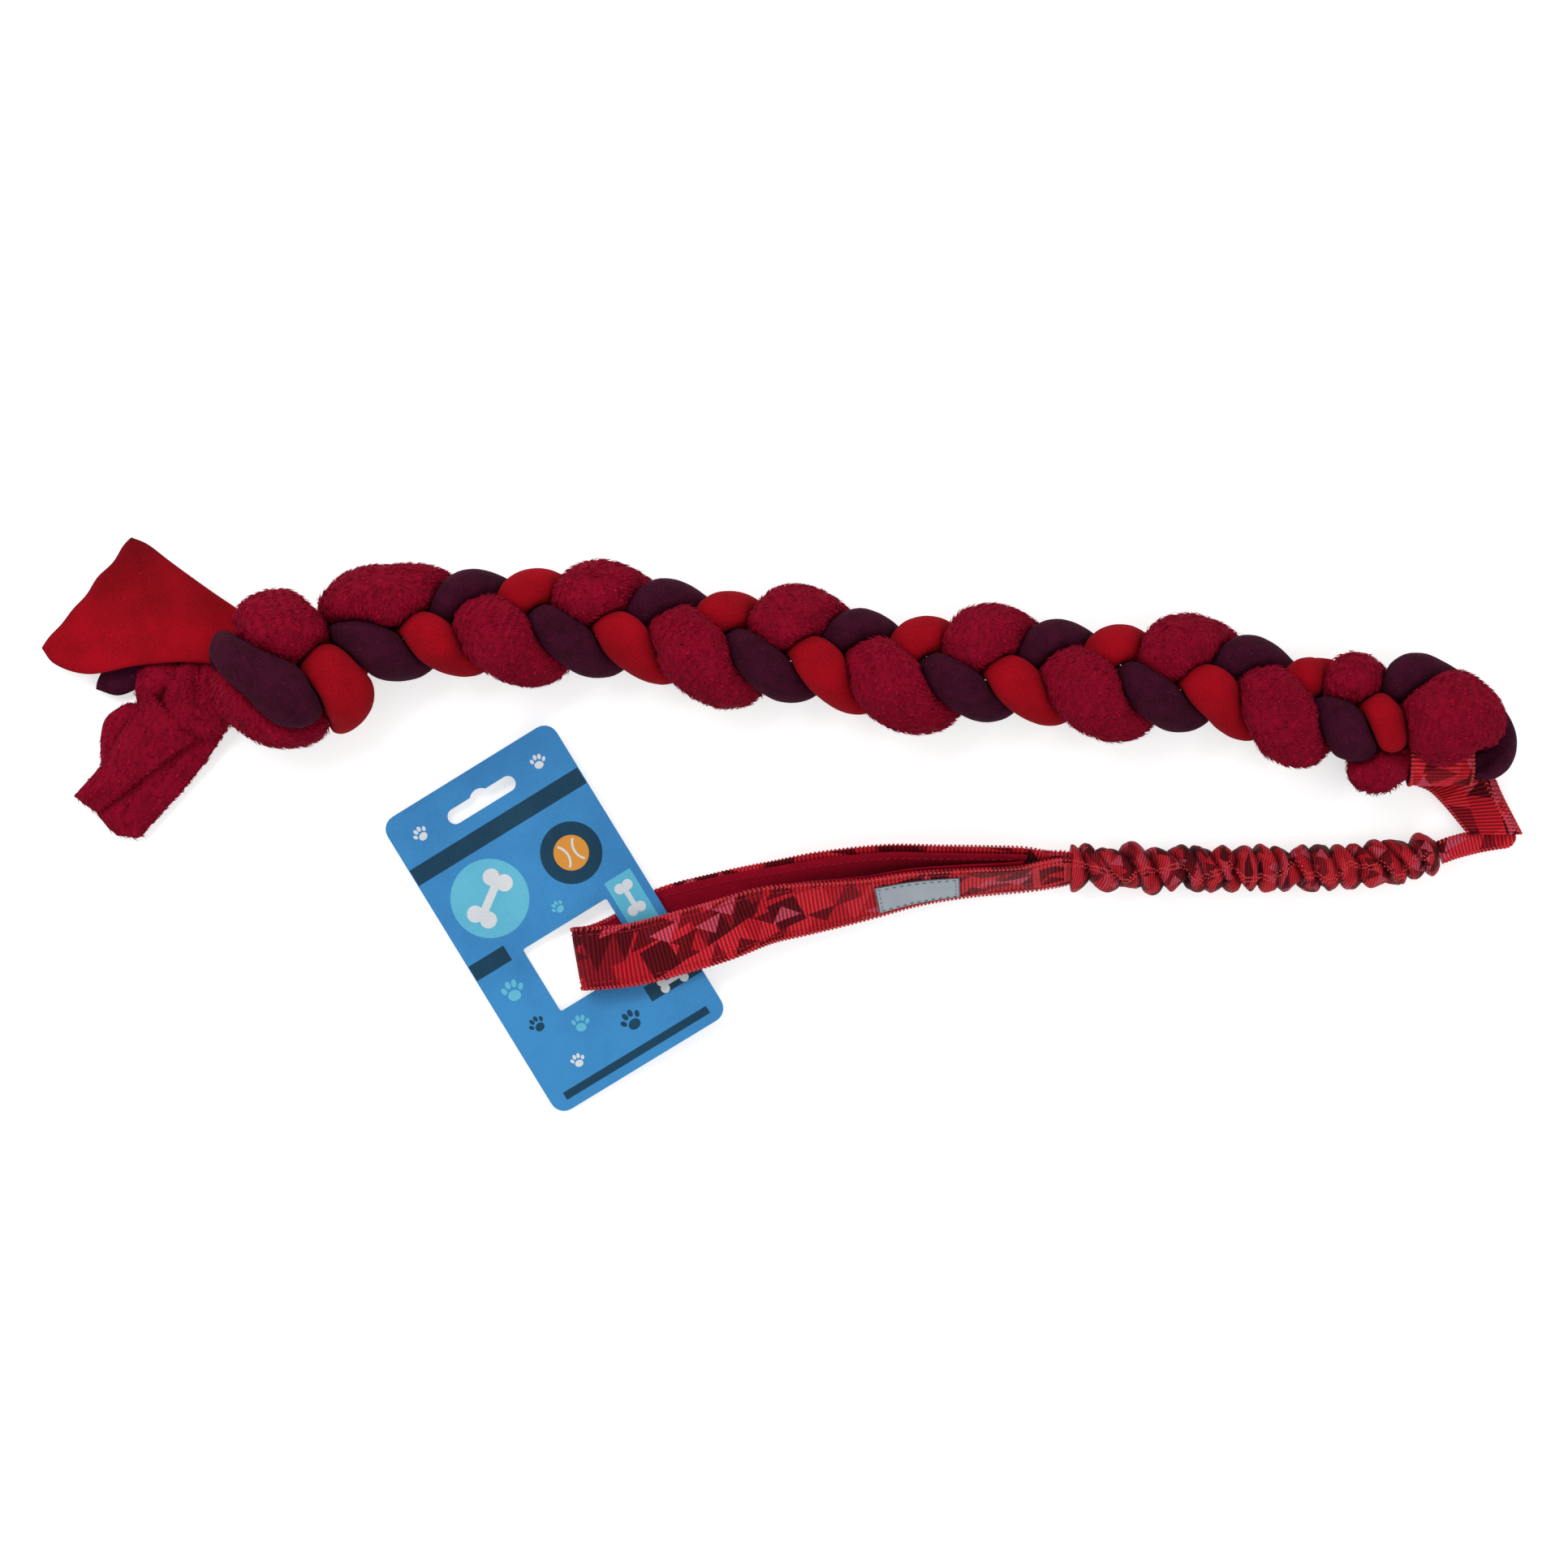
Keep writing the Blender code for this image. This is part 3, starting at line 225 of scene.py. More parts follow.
def unit(way):
    return way / np.linalg.norm(way)


def unit_rows(ways):
    return ways / np.linalg.norm(ways, axis=-1, keepdims=True)


def run_along(points):
    """How far along a line each of its points lies."""
    return np.r_[0, np.cumsum(np.linalg.norm(np.diff(points, axis=0), axis=1))]


def between(at, run, points):
    """The points at given lengths along a line of points."""
    return np.stack([np.interp(at, run, column) for column in points.T], axis=-1)


def above_floor(points, least=0.0):
    points[..., 2] = np.maximum(points[..., 2], least)
    return points


def spline(a, b, c, d, t):
    """A smooth curve from b (t = 0) to c (t = 1), past a before and d after."""
    return 0.5 * (2 * b + (c - a) * t + (2 * a - 5 * b + 4 * c - d) * t**2
                  + (3 * b - a - 3 * c + d) * t**3)


def smooth_curve(points, step):
    """An even run of points on a smooth curve through the given ones."""
    points = np.asarray(points, float)
    padded = np.vstack([2 * points[0] - points[1], points, 2 * points[-1] - points[-2]])
    t = np.linspace(0, 1, CURVE_PARTS, endpoint=False)[:, None]
    fine = [spline(*four, t) for four in zip(padded, padded[1:], padded[2:], padded[3:])]
    fine = np.vstack(fine + [points[-1:]])
    run = run_along(fine[:, :3])
    return between(np.linspace(0, run[-1], max(3, int(round(run[-1] / step)) + 1)), run, fine)


def braid_point(x, third):
    axis = np.array(BRAID_AXIS) * GRID
    middle = np.interp(x, axis[:, 0], axis[:, 1])
    turn = 1.5 * math.pi + 2 * math.pi * ((x - BRAID_START_X) / BRAID_PITCH - third / 3)
    side, lift = BRAID_SWING * math.sin(turn), BRAID_LIFT * math.sin(2 * turn)
    return (x, middle + side * math.cos(BRAID_ROLL) - lift * math.sin(BRAID_ROLL),
            BRAID_HEIGHT + side * math.sin(BRAID_ROLL) + lift * math.cos(BRAID_ROLL), 1.0)


def strand_line(name):
    """Centres and radii of a strand, close together."""
    radius, plaited, third = STRANDS[name]
    knot = np.array(KNOT_ROUTES[name]) * (GRID, GRID, GRID, KNOT_SWELL)
    bight = np.array(BIGHT_ROUTES[name]) * (GRID, GRID, GRID, 1)
    low, high = np.array(plaited) * GRID
    count = int((high - low) / (BRAID_PITCH / 12))
    middle = [braid_point(x, third) for x in np.linspace(low, high, count)]
    line = smooth_curve(np.vstack([knot, middle, bight]), RING_STEP / 3)
    return line[:, :3], line[:, 3] * radius


loop_low, loop_high = (np.array(corner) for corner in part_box("loop_webbing"))
loop_middle = (loop_low + loop_high) / 2
loop_reach = (loop_high - loop_low) / 2
BAND = 0.0024


def touches_band(points):
    y = (points[..., 1] - loop_middle[1]) / (loop_reach[1] - BAND / 3)
    z = (points[..., 2] - loop_middle[2]) / (loop_reach[2] - BAND / 3)
    off = np.abs(np.sqrt(y**2 + z**2) - 1) * loop_reach[1]
    beside = np.abs(points[..., 0] - loop_middle[0]) < loop_reach[0] + RING_STEP
    return beside & (off < BAND / 2 + PRESS_GAP)


def touches_tail(points):
    hit = np.zeros(points.shape[:-1], bool)
    for place, way, half_width in TAIL_ROOTS.values():
        way = np.array((*way, 0.0)) / np.linalg.norm(way)
        across = np.array((way[1], -way[0], 0.0))
        off = points - np.array(place) * GRID
        side = np.clip(off @ across, -half_width, half_width)
        away = np.linalg.norm(off - side[..., None] * across, axis=-1)
        hit |= away < TAIL_THICKNESS / 2 + PRESS_GAP
        hit |= (off @ way > -TAIL_OVER) & (np.abs(off @ across) < 2 * half_width)
    return hit


def strand_rings(name, lines):
    """Rings of a strand, each point as far out as the others let it go."""
    own, radius = lines[name]
    run = run_along(own)
    at = np.linspace(0, run[-1], int(run[-1] / RING_STEP))
    centres = between(at, run, own)
    reach = np.interp(at, run, radius)
    tangents = unit_rows(np.gradient(centres, axis=0))
    side = np.cross(tangents[0], UP)
    turn = np.arange(RING_SIDES) * 2 * math.pi / RING_SIDES
    ways, grown = [], []
    for i, tangent in enumerate(tangents):
        side = unit(side - tangent * (side @ tangent))
        way = np.cos(turn)[:, None] * side + np.sin(turn)[:, None] * np.cross(tangent, side)
        points = centres[i] + way[:, None, :] * (reach[i] * PRESS_STEPS)[None, :, None]
        flat = points.reshape(-1, 3)
        near = np.linalg.norm(own - centres[i], axis=1) < PRESS_SEARCH
        to_own = np.linalg.norm(flat[:, None] - own[near][None], axis=2) / radius[near][None]
        nearest = run[near][to_own.argmin(axis=1)].reshape(points.shape[:2])
        hit = np.abs(nearest - at[i]) > PRESS_OWN
        for other, (line, wide) in lines.items():
            close = np.linalg.norm(line - centres[i], axis=1) < PRESS_SEARCH
            if other != name and close.any():
                gone = np.linalg.norm(flat[:, None] - line[close][None], axis=2) / wide[close]
                room = gone.min(axis=1).reshape(points.shape[:2]) * reach[i]
                hit |= reach[i] * PRESS_STEPS[None] + PRESS_GAP > room
        hit |= (points[..., 2] < 0) | touches_band(points) | touches_tail(points)
        first = np.where(hit.any(axis=1), hit.argmax(axis=1), len(PRESS_STEPS))
        grown.append(reach[i] * PRESS_STEPS[np.clip(first - 1, 0, None)])
        ways.append(way)
    grown = np.array(grown)
    for _ in range(SOFTENINGS):
        around = (np.roll(grown, 1, axis=1) + np.roll(grown, -1, axis=1)) / 2
        along = grown.copy()
        along[1:-1] = (grown[2:] + grown[:-2]) / 2
        grown = np.minimum(grown, 0.34 * grown + 0.33 * around + 0.33 * along)
    ends = np.clip(np.minimum(at, run[-1] - at) / END_LENGTH, 0, 1)
    grown *= (END_SHARE + (1 - END_SHARE) * np.sqrt(ends))[:, None]
    return centres[:, None, :] + np.array(ways) * grown[..., None]


def finer(rows):
    """Rows of rings with more rings, and more points round each, on smooth curves."""
    rows = np.asarray(rows)
    for axis in (0, 1):
        rows = np.swapaxes(rows, 0, axis)
        if axis == 1:
            padded = np.concatenate([rows[-1:], rows, rows[:2]])
        else:
            padded = np.concatenate([2 * rows[:1] - rows[1:2], rows, 2 * rows[-1:] - rows[-2:-1]])
        made = [spline(*four, k / FINER) for four in zip(padded, padded[1:], padded[2:], padded[3:])
                for k in range(FINER)]
        if axis == 0:
            made.append(rows[-1])
        rows = np.swapaxes(np.array(made), 0, axis)
    return rows


def add_mesh(name, verts, faces, surface, uvs=None):
    mesh = bpy.data.meshes.new(name)
    mesh.from_pydata(np.asarray(verts).tolist(), [], faces)
    if uvs is not None:
        layer = mesh.uv_layers.new(name="lie")
        corners = np.empty(len(mesh.loops), dtype=np.int32)
        mesh.loops.foreach_get("vertex_index", corners)
        layer.data.foreach_set("uv", np.asarray(uvs, dtype=np.float32)[corners].ravel())
    mesh.materials.append(surface)
    mesh.shade_smooth()
    piece = bpy.data.objects.new(name, mesh)
    scene.collection.objects.link(piece)
    return piece


def tube_faces(rings, sides, closed=False):
    faces = []
    for i in range(rings if closed else rings - 1):
        here, there = i * sides, ((i + 1) % rings) * sides
        faces += [(here + j, here + (j + 1) % sides, there + (j + 1) % sides, there + j)
                  for j in range(sides)]
    if not closed:
        faces.append(tuple(range(sides))[::-1])
        faces.append(tuple((rings - 1) * sides + j for j in range(sides)))
    return faces


def turn_out(piece):
    """Faces of a closed piece all pointing out."""
    work = bmesh.new()
    work.from_mesh(piece.data)
    bmesh.ops.recalc_face_normals(work, faces=work.faces)
    if work.calc_volume(signed=True) < 0:
        bmesh.ops.reverse_faces(work, faces=work.faces)
    work.to_mesh(piece.data)
    work.free()
    return piece


def new_group(name, inputs, outputs):
    group = bpy.data.node_groups.new(name, "ShaderNodeTree")
    for label, kind, value in inputs:
        socket = group.interface.new_socket(label, in_out="INPUT", socket_type=kind)
        socket.default_value = value
    for label, kind in outputs:
        group.interface.new_socket(label, in_out="OUTPUT", socket_type=kind)
    return group, group.nodes.new("NodeGroupInput"), group.nodes.new("NodeGroupOutput")


FLOAT, COLOUR = "NodeSocketFloat", "NodeSocketColor"


def add_noise(tree, vector, scale, detail=2.0, rough=0.5):
    return add_node(tree, "TexNoise", {"Vector": vector, "Scale": scale, "Detail": detail,
                                       "Roughness": rough}).outputs["Fac"]


def add_range(tree, value, low, high, to_low, to_high):
    return add_node(tree, "MapRange", {"Value": value, "From Min": low, "From Max": high,
                                       "To Min": to_low, "To Max": to_high}).outputs["Result"]


def add_mix(tree, factor, a, b):
    return add_node(tree, "Mix", {"Factor": factor, 6: a, 7: b}, data_type="RGBA").outputs[2]


def add_scaled(tree, colour, factor):
    return add_node(tree, "VectorMath", {0: colour, "Scale": factor},
                    operation="SCALE").outputs["Vector"]


def object_place(tree):
    return add_node(tree, "TexCoord").outputs["Object"]


def split(tree, vector):
    return add_node(tree, "SeparateXYZ", {"Vector": vector}).outputs


def add_relief(tree, shader, height, strength, distance):
    bump = add_node(tree, "Bump", {"Height": height, "Strength": strength, "Distance": distance})
    tree.links.new(bump.outputs["Normal"], shader.inputs["Normal"])


def make_nap_group():
    """Short nap of fleece or plush: matted patches, fibre streaks and stray light hairs."""
    tree, given, made = new_group(
        "nap",
        (("Colour", COLOUR, (0.5, 0, 0, 1)), ("Deep", COLOUR, (0.2, 0, 0, 1)),
         ("Hair", COLOUR, (0.8, 0.2, 0.2, 1)), ("Patch", FLOAT, 90.0), ("Fibre", FLOAT, 900.0),
         ("Stretch", FLOAT, 0.3), ("Depth", FLOAT, 0.6), ("Lint", FLOAT, 0.66)),
        (("Colour", COLOUR), ("Height", FLOAT)))
    given = given.outputs
    where = object_place(tree)
    squeeze = add_node(tree, "CombineXYZ", {0: 1.0, 1: given["Stretch"], 2: 1.0})
    bent = add_node(tree, "Mapping", {"Vector": where, "Rotation": (0.3, 0.2, 0.9),
                                      "Scale": squeeze.outputs[0]})
    patch = add_noise(tree, where, given["Patch"], 3.0)
    fibre = add_noise(tree, bent.outputs["Vector"], given["Fibre"], 2.0)
    tone = add_math(tree, "ADD", add_math(tree, "MULTIPLY", patch, 0.5),
                    add_math(tree, "MULTIPLY", fibre, 0.5))
    shade = add_range(tree, tone, 0.36, 0.60, 0.0, 1.0)
    mixed = add_mix(tree, shade, given["Deep"], given["Colour"])
    lint = add_math(tree, "GREATER_THAN", fibre, given["Lint"])
    hairy = add_mix(tree, add_math(tree, "MULTIPLY", lint, 0.5), mixed, given["Hair"])
    tree.links.new(hairy, made.inputs["Colour"])
    height = add_math(tree, "ADD", fibre, add_math(tree, "MULTIPLY", patch, 0.7))
    tree.links.new(add_math(tree, "MULTIPLY", height, given["Depth"]), made.inputs["Height"])
    return tree


NAP = make_nap_group()
NAP_DEPTH = 0.0008


def nap_material(name, colour, deep, hair, patch, fibre, stretch, depth, lint, sheen, bump):
    """Cloth with a nap. The shader's base colour comes straight from the nap group."""
    surface, tree, shader = new_shader(name, 0.95, 0.15)
    nap = add_node(tree, "Group", node_tree=NAP)
    for label, value in (("Colour", (*colour, 1)), ("Deep", (*deep, 1)), ("Hair", (*hair, 1)),
                         ("Patch", patch), ("Fibre", fibre), ("Stretch", stretch),
                         ("Depth", depth), ("Lint", lint)):
        nap.inputs[label].default_value = value
    tree.links.new(nap.outputs["Colour"], shader.inputs["Base Color"])
    add_relief(tree, shader, nap.outputs["Height"], bump, NAP_DEPTH)
    shader.inputs["Sheen Weight"].default_value = sheen
    shader.inputs["Sheen Roughness"].default_value = 0.45
    shader.inputs["Sheen Tint"].default_value = (*hair, 1)
    return surface


PLUSH = nap_material("crimson plush", (0.30, 0.001, 0.022), (0.18, 0.0005, 0.012),
                     (0.45, 0.02, 0.09), 110, 620, 0.28, 0.8, 0.72, 0.04, 0.6)
PILE = nap_material("plush pile", (0.46, 0.001, 0.036), (0.22, 0.0005, 0.014),
                    (0.62, 0.04, 0.14), 330, 900, 0.5, 0.5, 0.70, 0.05, 0.3)
RED_FLEECE = nap_material("red fleece", (0.42, 0.001, 0.010), (0.26, 0.0005, 0.006),
                          (0.62, 0.05, 0.07), 70, 1500, 0.8, 0.4, 0.74, 0.08, 0.30)
PURPLE_FLEECE = nap_material("purple fleece", (0.060, 0.003, 0.020), (0.030, 0.001, 0.009),
                             (0.16, 0.03, 0.09), 160, 1300, 0.6, 0.7, 0.71, 0.10, 0.55)


def make_strand(name, piece_name, surface, node):
    rings = above_floor(finer(strand_rings(name, strand_lines)))
    count, sides = rings.shape[:2]
    piece = turn_out(add_mesh(piece_name, rings.reshape(-1, 3), tube_faces(count, sides), surface))
    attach(piece, "plait")
    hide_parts(node)
    return piece


TUFT_LENGTH = 0.0036
TUFT_WIDTH = 0.00100
TUFT_SPACING = 0.0016
TUFT_ROOT = 0.0002  # how deep a tuft starts in the cloth
TUFT_SHIFT = 0.0007
COMBED, SPREAD, DROOP = -0.5, 0.38, -0.15  # the pile's heading, how much it varies, its fall
HIDDEN_BELOW = 0.0006  # faces this low that look down grow no pile
END_CAP = 1e-5  # nor do faces larger than this, the ends of a strand
draw = np.random.default_rng(11)


def grow_pile(name, pieces, length, body):
    """Tufts of pile, combed flat along the cloth, each a small closed wedge."""
    roots, normals, areas = [], [], []
    for piece in pieces:
        mesh = piece.data
        count = len(mesh.polygons)
        for key, store, width in (("center", roots, 3), ("normal", normals, 3), ("area", areas, 1)):
            values = np.empty(count * width, dtype=np.float64)
            mesh.polygons.foreach_get(key, values)
            store.append(values.reshape(count, width))
    roots, normals, areas = (np.vstack(part) for part in (roots, normals, areas))
    areas = areas[:, 0] * ((roots[:, 2] > HIDDEN_BELOW) | (normals[:, 2] > 0)) \
        * (areas[:, 0] < END_CAP)
    count = int(areas.sum() / TUFT_SPACING**2)
    pick = draw.choice(len(roots), size=count, p=areas / areas.sum())
    root, normal = roots[pick], normals[pick]
    swirl = 0.9 * np.sin(root[:, 0] * 95 + 1.0) + 0.7 * np.sin(root[:, 1] * 130 + root[:, 0] * 40)
    angle = COMBED + swirl + draw.normal(0, SPREAD, count)
    comb = np.stack([np.cos(angle), np.sin(angle), np.full(count, DROOP)], axis=1)
    comb -= normal * (comb * normal).sum(axis=1, keepdims=True)
    comb /= np.linalg.norm(comb, axis=1, keepdims=True) + 1e-9
    across = np.cross(normal, comb)
    root = root + across * draw.uniform(-TUFT_SHIFT, TUFT_SHIFT, (count, 1))
    size = length * draw.uniform(0.6, 1.15, (count, 1))
    wide = TUFT_WIDTH * draw.uniform(0.7, 1.2, (count, 1))
    ridge = normal * draw.uniform(0.0003, 0.0006, (count, 1))
    tip = normal * draw.uniform(0.0002, 0.0014, (count, 1))
    corners = np.stack([root + across * wide / 2 - normal * TUFT_ROOT,
                        root - across * wide / 2 - normal * TUFT_ROOT,
                        root + comb * size * 0.35 + ridge, root + comb * size + tip],
                       axis=1).reshape(-1, 3)
    faces = [(base + i, base + j, base + k) for base in range(0, 4 * count, 4)
             for i, j, k in ((1, 0, 2), (0, 3, 2), (2, 3, 1), (0, 1, 3))]
    pile = add_mesh(name, above_floor(corners), faces, PILE)
    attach(pile, body)


strand_lines = {name: strand_line(name) for name in STRANDS}
plush_strand = make_strand("plush", "plush_strand", PLUSH, "strand_plush")
make_strand("purple", "purple_strand", PURPLE_FLEECE, "strand_purple_fleece")
make_strand("red", "red_strand", RED_FLEECE, "strand_red_fleece")
grow_pile("plush_strand_pile", [plush_strand], TUFT_LENGTH, "plait")

# Tails
# The three strands' cut ends beyond the knot: a flat fan of red fleece, a strip of
# purple fleece under it, and the plush, folded over on itself in soft lobes.
SHEET_STEP = 0.0016
RIM = 3  # steps over which a cloth thins towards its edge
RED_THICKNESS = 0.0034
PURPLE_THICKNESS = 0.0030
PLUSH_THICKNESS = 0.0046


def sheet_normals(grid):
    normals = unit_rows(np.cross(np.gradient(grid, axis=0), np.gradient(grid, axis=1)))
    return normals * np.sign(normals[..., 2].mean())


def make_cloth(name, grid, thickness, surface):
    """A closed piece of cloth round a grid of its middle surface, with soft edges."""
    rows, columns = grid.shape[:2]
    in_rows, in_columns = (np.minimum(np.arange(n), np.arange(n)[::-1]) for n in (rows, columns))
    off = np.minimum(in_rows[:, None], in_columns[None])
    half = thickness / 2 * np.sqrt(1 - (1 - np.clip((off + 0.25) / RIM, 0, 1)) ** 2)
    normals = sheet_normals(grid)
    top, bottom = grid + normals * half[..., None], grid - normals * half[..., None]
    verts = above_floor(np.vstack([top.reshape(-1, 3), bottom.reshape(-1, 3)]))
    under = rows * columns
    faces = []
    for i in range(rows - 1):
        for j in range(columns - 1):
            a = i * columns + j
            faces.append((a, a + 1, a + columns + 1, a + columns))
            faces.append((under + a, under + a + columns, under + a + columns + 1, under + a + 1))
    rim_loop = list(range(columns))
    rim_loop += [i * columns + columns - 1 for i in range(1, rows)]
    rim_loop += [(rows - 1) * columns + j for j in range(columns - 2, -1, -1)]
    rim_loop += [i * columns for i in range(rows - 2, 0, -1)]
    for a, b in zip(rim_loop, rim_loop[1:] + rim_loop[:1]):
        faces.append((a, under + a, under + b, b))
    return turn_out(add_mesh(name, verts, faces, surface))


def cloth_grid(edge_a, edge_b, heights, shape):
    """A grid between two edges given in millimetres. shape(t, s) adds to its height."""
    edges = []
    for edge in (edge_a, edge_b):
        edge = np.array(edge, float) / 1000
        edges.append(smooth_curve(np.c_[edge, np.zeros(len(edge))], SHEET_STEP / 4))
    length = max(len(edge) for edge in edges) / 4
    width = np.linalg.norm(edges[0][-1] - edges[1][-1])
    rows, columns = int(length) + 2, int(width / SHEET_STEP) + 3
    t = np.linspace(0, 1, rows)
    a, b = (between(t, np.linspace(0, 1, len(edge)), edge) for edge in edges)
    s = np.linspace(0, 1, columns)
    grid = a[:, None] + (b - a)[:, None] * s[None, :, None]
    levels = np.interp(t, np.linspace(0, 1, len(heights)), np.array(heights) / 1000)
    grid[..., 2] = levels[:, None] + shape(t[:, None], s[None, :]) / 1000
    return grid


def wavy_edge(grid, amount, waves):
    """Moves the cut end in and out a little, as scissors leave fleece."""
    along = np.linspace(0, 1, grid.shape[1])
    out = grid[-1] - grid[-4]
    out /= np.linalg.norm(out, axis=1, keepdims=True) + 1e-9
    wave = np.sin(along * waves * 2 * math.pi) + 0.6 * np.sin(along * waves * 4.7 + 1)
    for k in (3, 2, 1):
        grid[-k] += out * (amount * wave * (4 - k) / 3)[:, None]
    return grid


red_grid = cloth_grid(
    ((-219, 86), (-225, 90), (-236, 97.5), (-252, 109), (-262, 116.5), (-269, 119.5)),
    ((-221, 68), (-228, 67), (-247, 68), (-266, 66.5), (-286, 63), (-300, 67), (-306, 74)),
    (14.5, 14.0, 12.0, 9.0, 6.0),
    lambda t, s: 3.2 * np.sin(math.pi * s) * (1 - 0.65 * t) + 1.6 * t * np.sin(2.4 * math.pi * s)
    + 1.2 * t * t * np.cos(5 * s + 2))
# Painted shade: a copy of the red fleece whose colour darkens towards this tail's far corner
PAINTED_SHADE_Y, PAINTED_SHADE_LEVEL = (0.080, 0.117), 0.55
RED_FLEECE_PAINTED_SHADE = RED_FLEECE.copy()
tree = RED_FLEECE_PAINTED_SHADE.node_tree
shader = next(node for node in tree.nodes if node.type == "BSDF_PRINCIPLED")
painted_shade = add_range(tree, split(tree, object_place(tree))["Y"], *PAINTED_SHADE_Y, 1.0, PAINTED_SHADE_LEVEL)
tree.links.new(add_scaled(tree, shader.inputs["Base Color"].links[0].from_socket, painted_shade),
               shader.inputs["Base Color"])
red_tail = make_cloth("red_tail", wavy_edge(red_grid, 0.0004, 3.5), RED_THICKNESS, RED_FLEECE_PAINTED_SHADE)
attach(red_tail, "tail_over")
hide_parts("tail_red")

purple_grid = cloth_grid(
    ((-234, 79), (-250, 85), (-266, 90), (-277, 86)),
    ((-236, 65), (-250, 66), (-262, 60), (-274, 54.5), (-284, 57)),
    (6.5, 5.5, 4.6, 4.0),
    lambda t, s: 0.9 * np.sin(3.2 * math.pi * s) * t)
purple_tail = make_cloth("purple_tail", wavy_edge(purple_grid, 0.0006, 2.5), PURPLE_THICKNESS,
                         PURPLE_FLEECE)
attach(purple_tail, "tail_under")
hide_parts("tail_purple")

# Each layer's edges, heights and folds, then its cut width, length and area in metres
plush_layers = {
    "plush_tail_under": (cloth_grid(
        ((-229, 42), (-237.7, 28), (-250.3, 13), (-260, 2.5), (-264.5, -3.0), (-267.5, -4.2)),
        ((-246, 52), (-262, 40), (-275, 24), (-284, 9.0), (-280.5, 1.5), (-275, -3.6)),
        (6.5, 5.0, 4.0, 3.4),
        lambda t, s: 1.6 * np.sin(math.pi * s) + 0.7 * np.sin(9 * t + 4 * s)),
        0.026, 0.070, 0.0016),
    "plush_tail_flap": (cloth_grid(
        ((-262, 50), (-267, 41), (-270, 30), (-273, 21)),
        ((-269, 51), (-278.5, 46), (-281.5, 38), (-281.5, 24)),
        (8.0, 6.0, 4.5),
        lambda t, s: 1.2 * np.sin(math.pi * s)),
        0.013, 0.033, 0.00042),
    "plush_tail_over": (cloth_grid(
        ((-242, 36), (-254, 28), (-268, 17.5), (-283, 6.0)),
        ((-262, 56), (-271, 42), (-279.5, 27), (-292.5, 12.5)),
        (11.0, 10.5, 9.0, 6.0),
        lambda t, s: 2.6 * np.sin(math.pi * s) + 0.8 * np.sin(7 * t + 3)
        + 2.2 * np.exp(-(s / 0.10) ** 2) * (1 - 0.5 * t)),
        0.025, 0.053, 0.0011)}
plush_tails = []
for name, (grid, width, length, area) in plush_layers.items():
    layer = make_cloth(name, grid, PLUSH_THICKNESS, PLUSH)
    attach(layer, "tail_side")
    plush_tails.append(layer)

LOBE_ROUND = 0.86  # 1 is an ellipsoid, less is fuller


def make_lobe(name, middle, reach, dents):
    """A soft fold of plush, seen from above as a rounded lobe with creases in it."""
    rings, sides = 26, 40
    middle = np.array(middle)
    points = []
    for i in range(1, rings):
        polar = math.pi * i / rings
        for j in range(sides):
            turn = 2 * math.pi * j / sides
            point = np.array((math.sin(polar) * math.cos(turn), math.sin(polar) * math.sin(turn),
                              math.cos(polar)))
            place = middle + np.sign(point) * np.abs(point) ** LOBE_ROUND * reach
            for (x, y), (dx, dy), wide, deep in dents:
                off = place[:2] - (x, y)
                long = np.clip(off @ (dx, dy) / (dx * dx + dy * dy), 0, 1)
                away = np.linalg.norm(off - long * np.array((dx, dy)))
                if place[2] > middle[2]:
                    place[2] -= deep * math.exp(-(away / wide) ** 2)
            points.append(place)
    top, bottom = middle + (0, 0, reach[2]), middle - (0, 0, reach[2])
    verts = above_floor(np.vstack([points, [top, bottom]]) / 1000, 0.0002)
    faces = []
    for i in range(rings - 2):
        for j in range(sides):
            a, b = i * sides + j, i * sides + (j + 1) % sides
            faces.append((a, b, b + sides, a + sides))
    last = (rings - 2) * sides
    for j in range(sides):
        faces.append((j, (j + 1) % sides, len(points)))
        faces.append((last + (j + 1) % sides, last + j, len(points) + 1))
    piece = turn_out(add_mesh(name, verts, faces, PLUSH))
    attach(piece, "tail_side")
    return piece


near_lobe = make_lobe("plush_tail_lobe", (-240.5, 52.5, 9.5), (14.6, 16.3, 6.8),
                      (((-240.5, 68), (-1.0, -17), 1.7, 3.2), ((-233, 40), (-8, 5), 2.0, 1.4)))
far_lobe = make_lobe("plush_tail_lobe_far", (-257.0, 57.0, 7.6), (10.4, 11.8, 5.6),
                     (((-255.5, 56), (-1.5, -5), 2.2, 5.0), ((-268, 53), (20, -3), 1.6, 1.6)))
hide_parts("tail_plush")
grow_pile("plush_tail_pile", plush_tails + [near_lobe, far_lobe], TUFT_LENGTH * 0.8, "tail_side")

# Band round the bight
# Printed grosgrain webbing, ribbed across and chained along both selvedges, sewn
# round the strands where they turn back.
WEBBING_WIDTH = 0.026
WEBBING_THICKNESS = 0.0016
RIB_PITCH = 0.00165
RIB_DEPTH = 0.00016
ROW_STEP = RIB_PITCH / 5  # between the rows of points that a strip is made of
EDGE_LOOP = 0.00022
HEADING_STEP = 0.0004
CHAIN_SIZE = (0.0015, 0.00030)  # length and radius of a loop of the selvedge
CHAIN_LOOPS = ((0.8, 0.00035), (-0.8, 0.00095))  # slant, and how far in from the edge
STRIP_COLUMNS = (-1, -0.975, -0.93, -0.62, -0.31, 0, 0.31, 0.62, 0.93, 0.975, 1)


def flat_place(tree):
    return add_node(tree, "UVMap", uv_map="lie").outputs["UV"]


